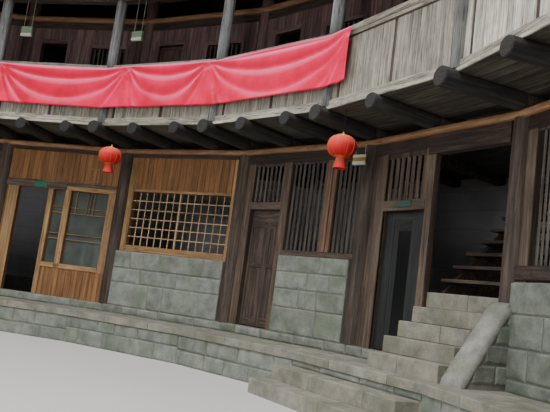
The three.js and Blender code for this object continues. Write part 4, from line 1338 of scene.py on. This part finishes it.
def globe_outline(lift):
    """The globe's arc from its lower cap to its upper one, as radii and heights."""
    turns = [(k / GLOBE_STEPS * 1.6 - 0.8) * pi / 2 for k in range(GLOBE_STEPS + 1)]
    return [(0.070 + lift + 0.130 * cos(turn), LANTERN_MIDDLE + 0.145 * sin(turn)) for turn in turns]


def raised(outline):
    return [(radius, LANTERN_MIDDLE + z) for radius, z in outline]


def ribbed(i):
    return 1 - 0.022 * abs(cos(i * pi / 4)) ** 3


def pleated(i):
    return 1 + 0.03 * cos(i * pi / 2)


def lantern(side):
    """A ribbed silk globe with gilt caps, rib wires, a skirt and the wire it hangs from."""
    node = f"lantern_{side}"
    low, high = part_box(node)
    centre = (low + high) / 2
    globe = Shape(190)
    globe.revolve(centre, globe_outline(0.0), 96, ribbed)
    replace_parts(globe.make(f"{node}_globe", [SILK], "lantern_cloth", smooth=1.0), node)
    skirt = Shape(191)
    skirt.revolve(centre, raised(SKIRT), 60, pleated)
    skirt.make(f"{node}_skirt", [SILK], "lantern_cloth", smooth=1.0)
    trim = Shape(192)
    for cap in CAPS:
        trim.revolve(centre, raised(cap), 32)
    trim.mark = 1
    trim.revolve(centre, ((0.0035, LANTERN_MIDDLE + 0.19), (0.0035, SOFFIT - 0.002)), 8)
    trim.mark = 2
    for i in range(RIBS):
        turn = 2 * pi * (i + 0.5) / RIBS
        c, s = cos(turn), sin(turn)
        trim.loft([
            [(centre.x + (r + out) * c - aside * s, centre.y + (r + out) * s + aside * c, z)
             for aside, out in ((-0.002, -0.003), (0.002, -0.003), (0.0, 0.0015))]
            for r, z in globe_outline(0.001)
        ])
    trim.make(f"{node}_trim", [GOLD, DARK_PAINT, RIB], "gold_trim", smooth=0.8)


def sign_box(name, bay, box, front, colour, ceiling, crown=False):
    """A small bare board with a white strip below it, hung on two wires."""
    x0, x1, z0, z1 = box
    shape = Shape(195, front, bay)
    shape.rail(x0, x1, z0, z1, 0, 0.04, 0.004)
    shape.mark = 0
    middle = front + 0.02
    for x in (x0 + 0.03, x1 - 0.03):
        wire = [(x - 0.003, middle), (x, middle - 0.003), (x + 0.003, middle), (x, middle + 0.003)]
        shape.prism("z", wire, z1 - 0.01, ceiling)
    strip = corners(x0, x1, front - 0.003, front + 0.043)
    shape.prism("z", strip, z0 - 0.02, z0 + 0.03)
    if crown:
        shape.prism("z", strip, z1 - 0.03, z1 + 0.012)
    shape.make(name, [WHITE_PLATE, colour], "sign_plate")


def signs():
    low_ceiling, ceiling = RING_BEAM[0] + 0.02, EAVE_PLATE[0] + 0.016
    low_front, front = WALL_LINE - 0.17, GALLERY_LINE - 0.09
    for name, bay, box, *rest in (
        ("c", BAY_C, (1.085, 1.310, 3.26, 3.375), low_front, YELLOW_PLATE, low_ceiling, True),
        ("upper_1", BAY_A, (-0.742, -0.522, 5.415, 5.58), front, SAGE_PLATE, ceiling),
        ("upper_2", BAY_B, (-0.754, -0.528, 5.355, 5.505), front, SAGE_PLATE, ceiling),
    ):
        sign_box(f"hanging_plate_{name}", bay, box, *rest)


# Floor, light and camera

CAMERA_PLACE = Vector((6.1998, 3.9385, 1.1968))
CAMERA_YAW = -1.0295
CAMERA_PITCH = 0.134
CAMERA_ROLL = 0.1306
CAMERA_LENS = 43.978
FLOOR_HALF = 120.0


def camera():
    data = bpy.data.cameras.new("camera")
    data.sensor_width = 36.0
    data.lens = CAMERA_LENS
    data.clip_start = 0.05
    data.clip_end = 200.0
    eye = link("camera", data)
    level = cos(CAMERA_PITCH)
    ahead = Vector((sin(CAMERA_YAW) * level, cos(CAMERA_YAW) * level, sin(CAMERA_PITCH)))
    right = Vector((cos(CAMERA_YAW), -sin(CAMERA_YAW), 0.0))
    up = right.cross(ahead)
    c, s = cos(CAMERA_ROLL), sin(CAMERA_ROLL)
    axes = Matrix((c * right + s * up, c * up - s * right, -ahead)).transposed()
    eye.matrix_world = Matrix.Translation(CAMERA_PLACE) @ axes.to_4x4()
    bpy.context.scene.camera = eye


def stage_floor():
    mesh = bpy.data.meshes.new("floor")
    around = corners(-FLOOR_HALF, FLOOR_HALF, -FLOOR_HALF, FLOOR_HALF)
    mesh.from_pydata([(x, y, 0) for x, y in around], [], [(0, 1, 2, 3)])
    s = Shader("pale_floor")
    cloud = s.noise(s.object_place(), 0.3, 2.0)
    colour = s.ramp(cloud, (0.3, paint(196, 194, 188)), (0.7, paint(204, 202, 196)))
    mesh.materials.append(s.finish(colour, 0.9))
    floor = link("floor", mesh)


def light(name, place, target, size, power):
    data = bpy.data.lights.new(name, "AREA")
    data.shape = "DISK"
    data.size = size
    data.energy = power
    lamp = link(name, data)
    lamp.location = place
    lamp.rotation_mode = "QUATERNION"
    lamp.rotation_quaternion = (Vector(target) - Vector(place)).to_track_quat("-Z", "Y")


def lighting():
    world = bpy.data.worlds.new("studio")
    world.use_nodes = True
    sky = world.node_tree.nodes["Background"]
    sky.inputs["Color"].default_value = (0.86, 0.92, 1.0, 1.0)
    sky.inputs["Strength"].default_value = 0.9
    bpy.context.scene.world = world
    light("overhead", (10.0, -6.0, 34.0), (0.0, 2.0, 0.0), 16.0, 14000.0)
    light("side", (-34.0, -30.0, 26.0), (0.0, 0.0, 2.0), 16.0, 9000.0)
    light("fill", (6.5, -3.5, 3.4), (-5.0, 8.0, 4.0), 5.0, 700.0)


for build in (
    carry_over, roof_tiles, ridge_tiles, eave_boards, rafters,
    posts, joist_logs, ring_beams, eave_plates, headers, plain_bays, upper_storey, upper_leaf, parapet,
    bay_a, bay_b, bay_c, panelled_door, bay_d, cased_door, bay_e,
    terrace_stones, sill_stones, footing_stones, steps, stair_cheek, outer_windows, banner,
):
    build()
lantern("left")
lantern("right")
signs()
camera()
stage_floor()
lighting()
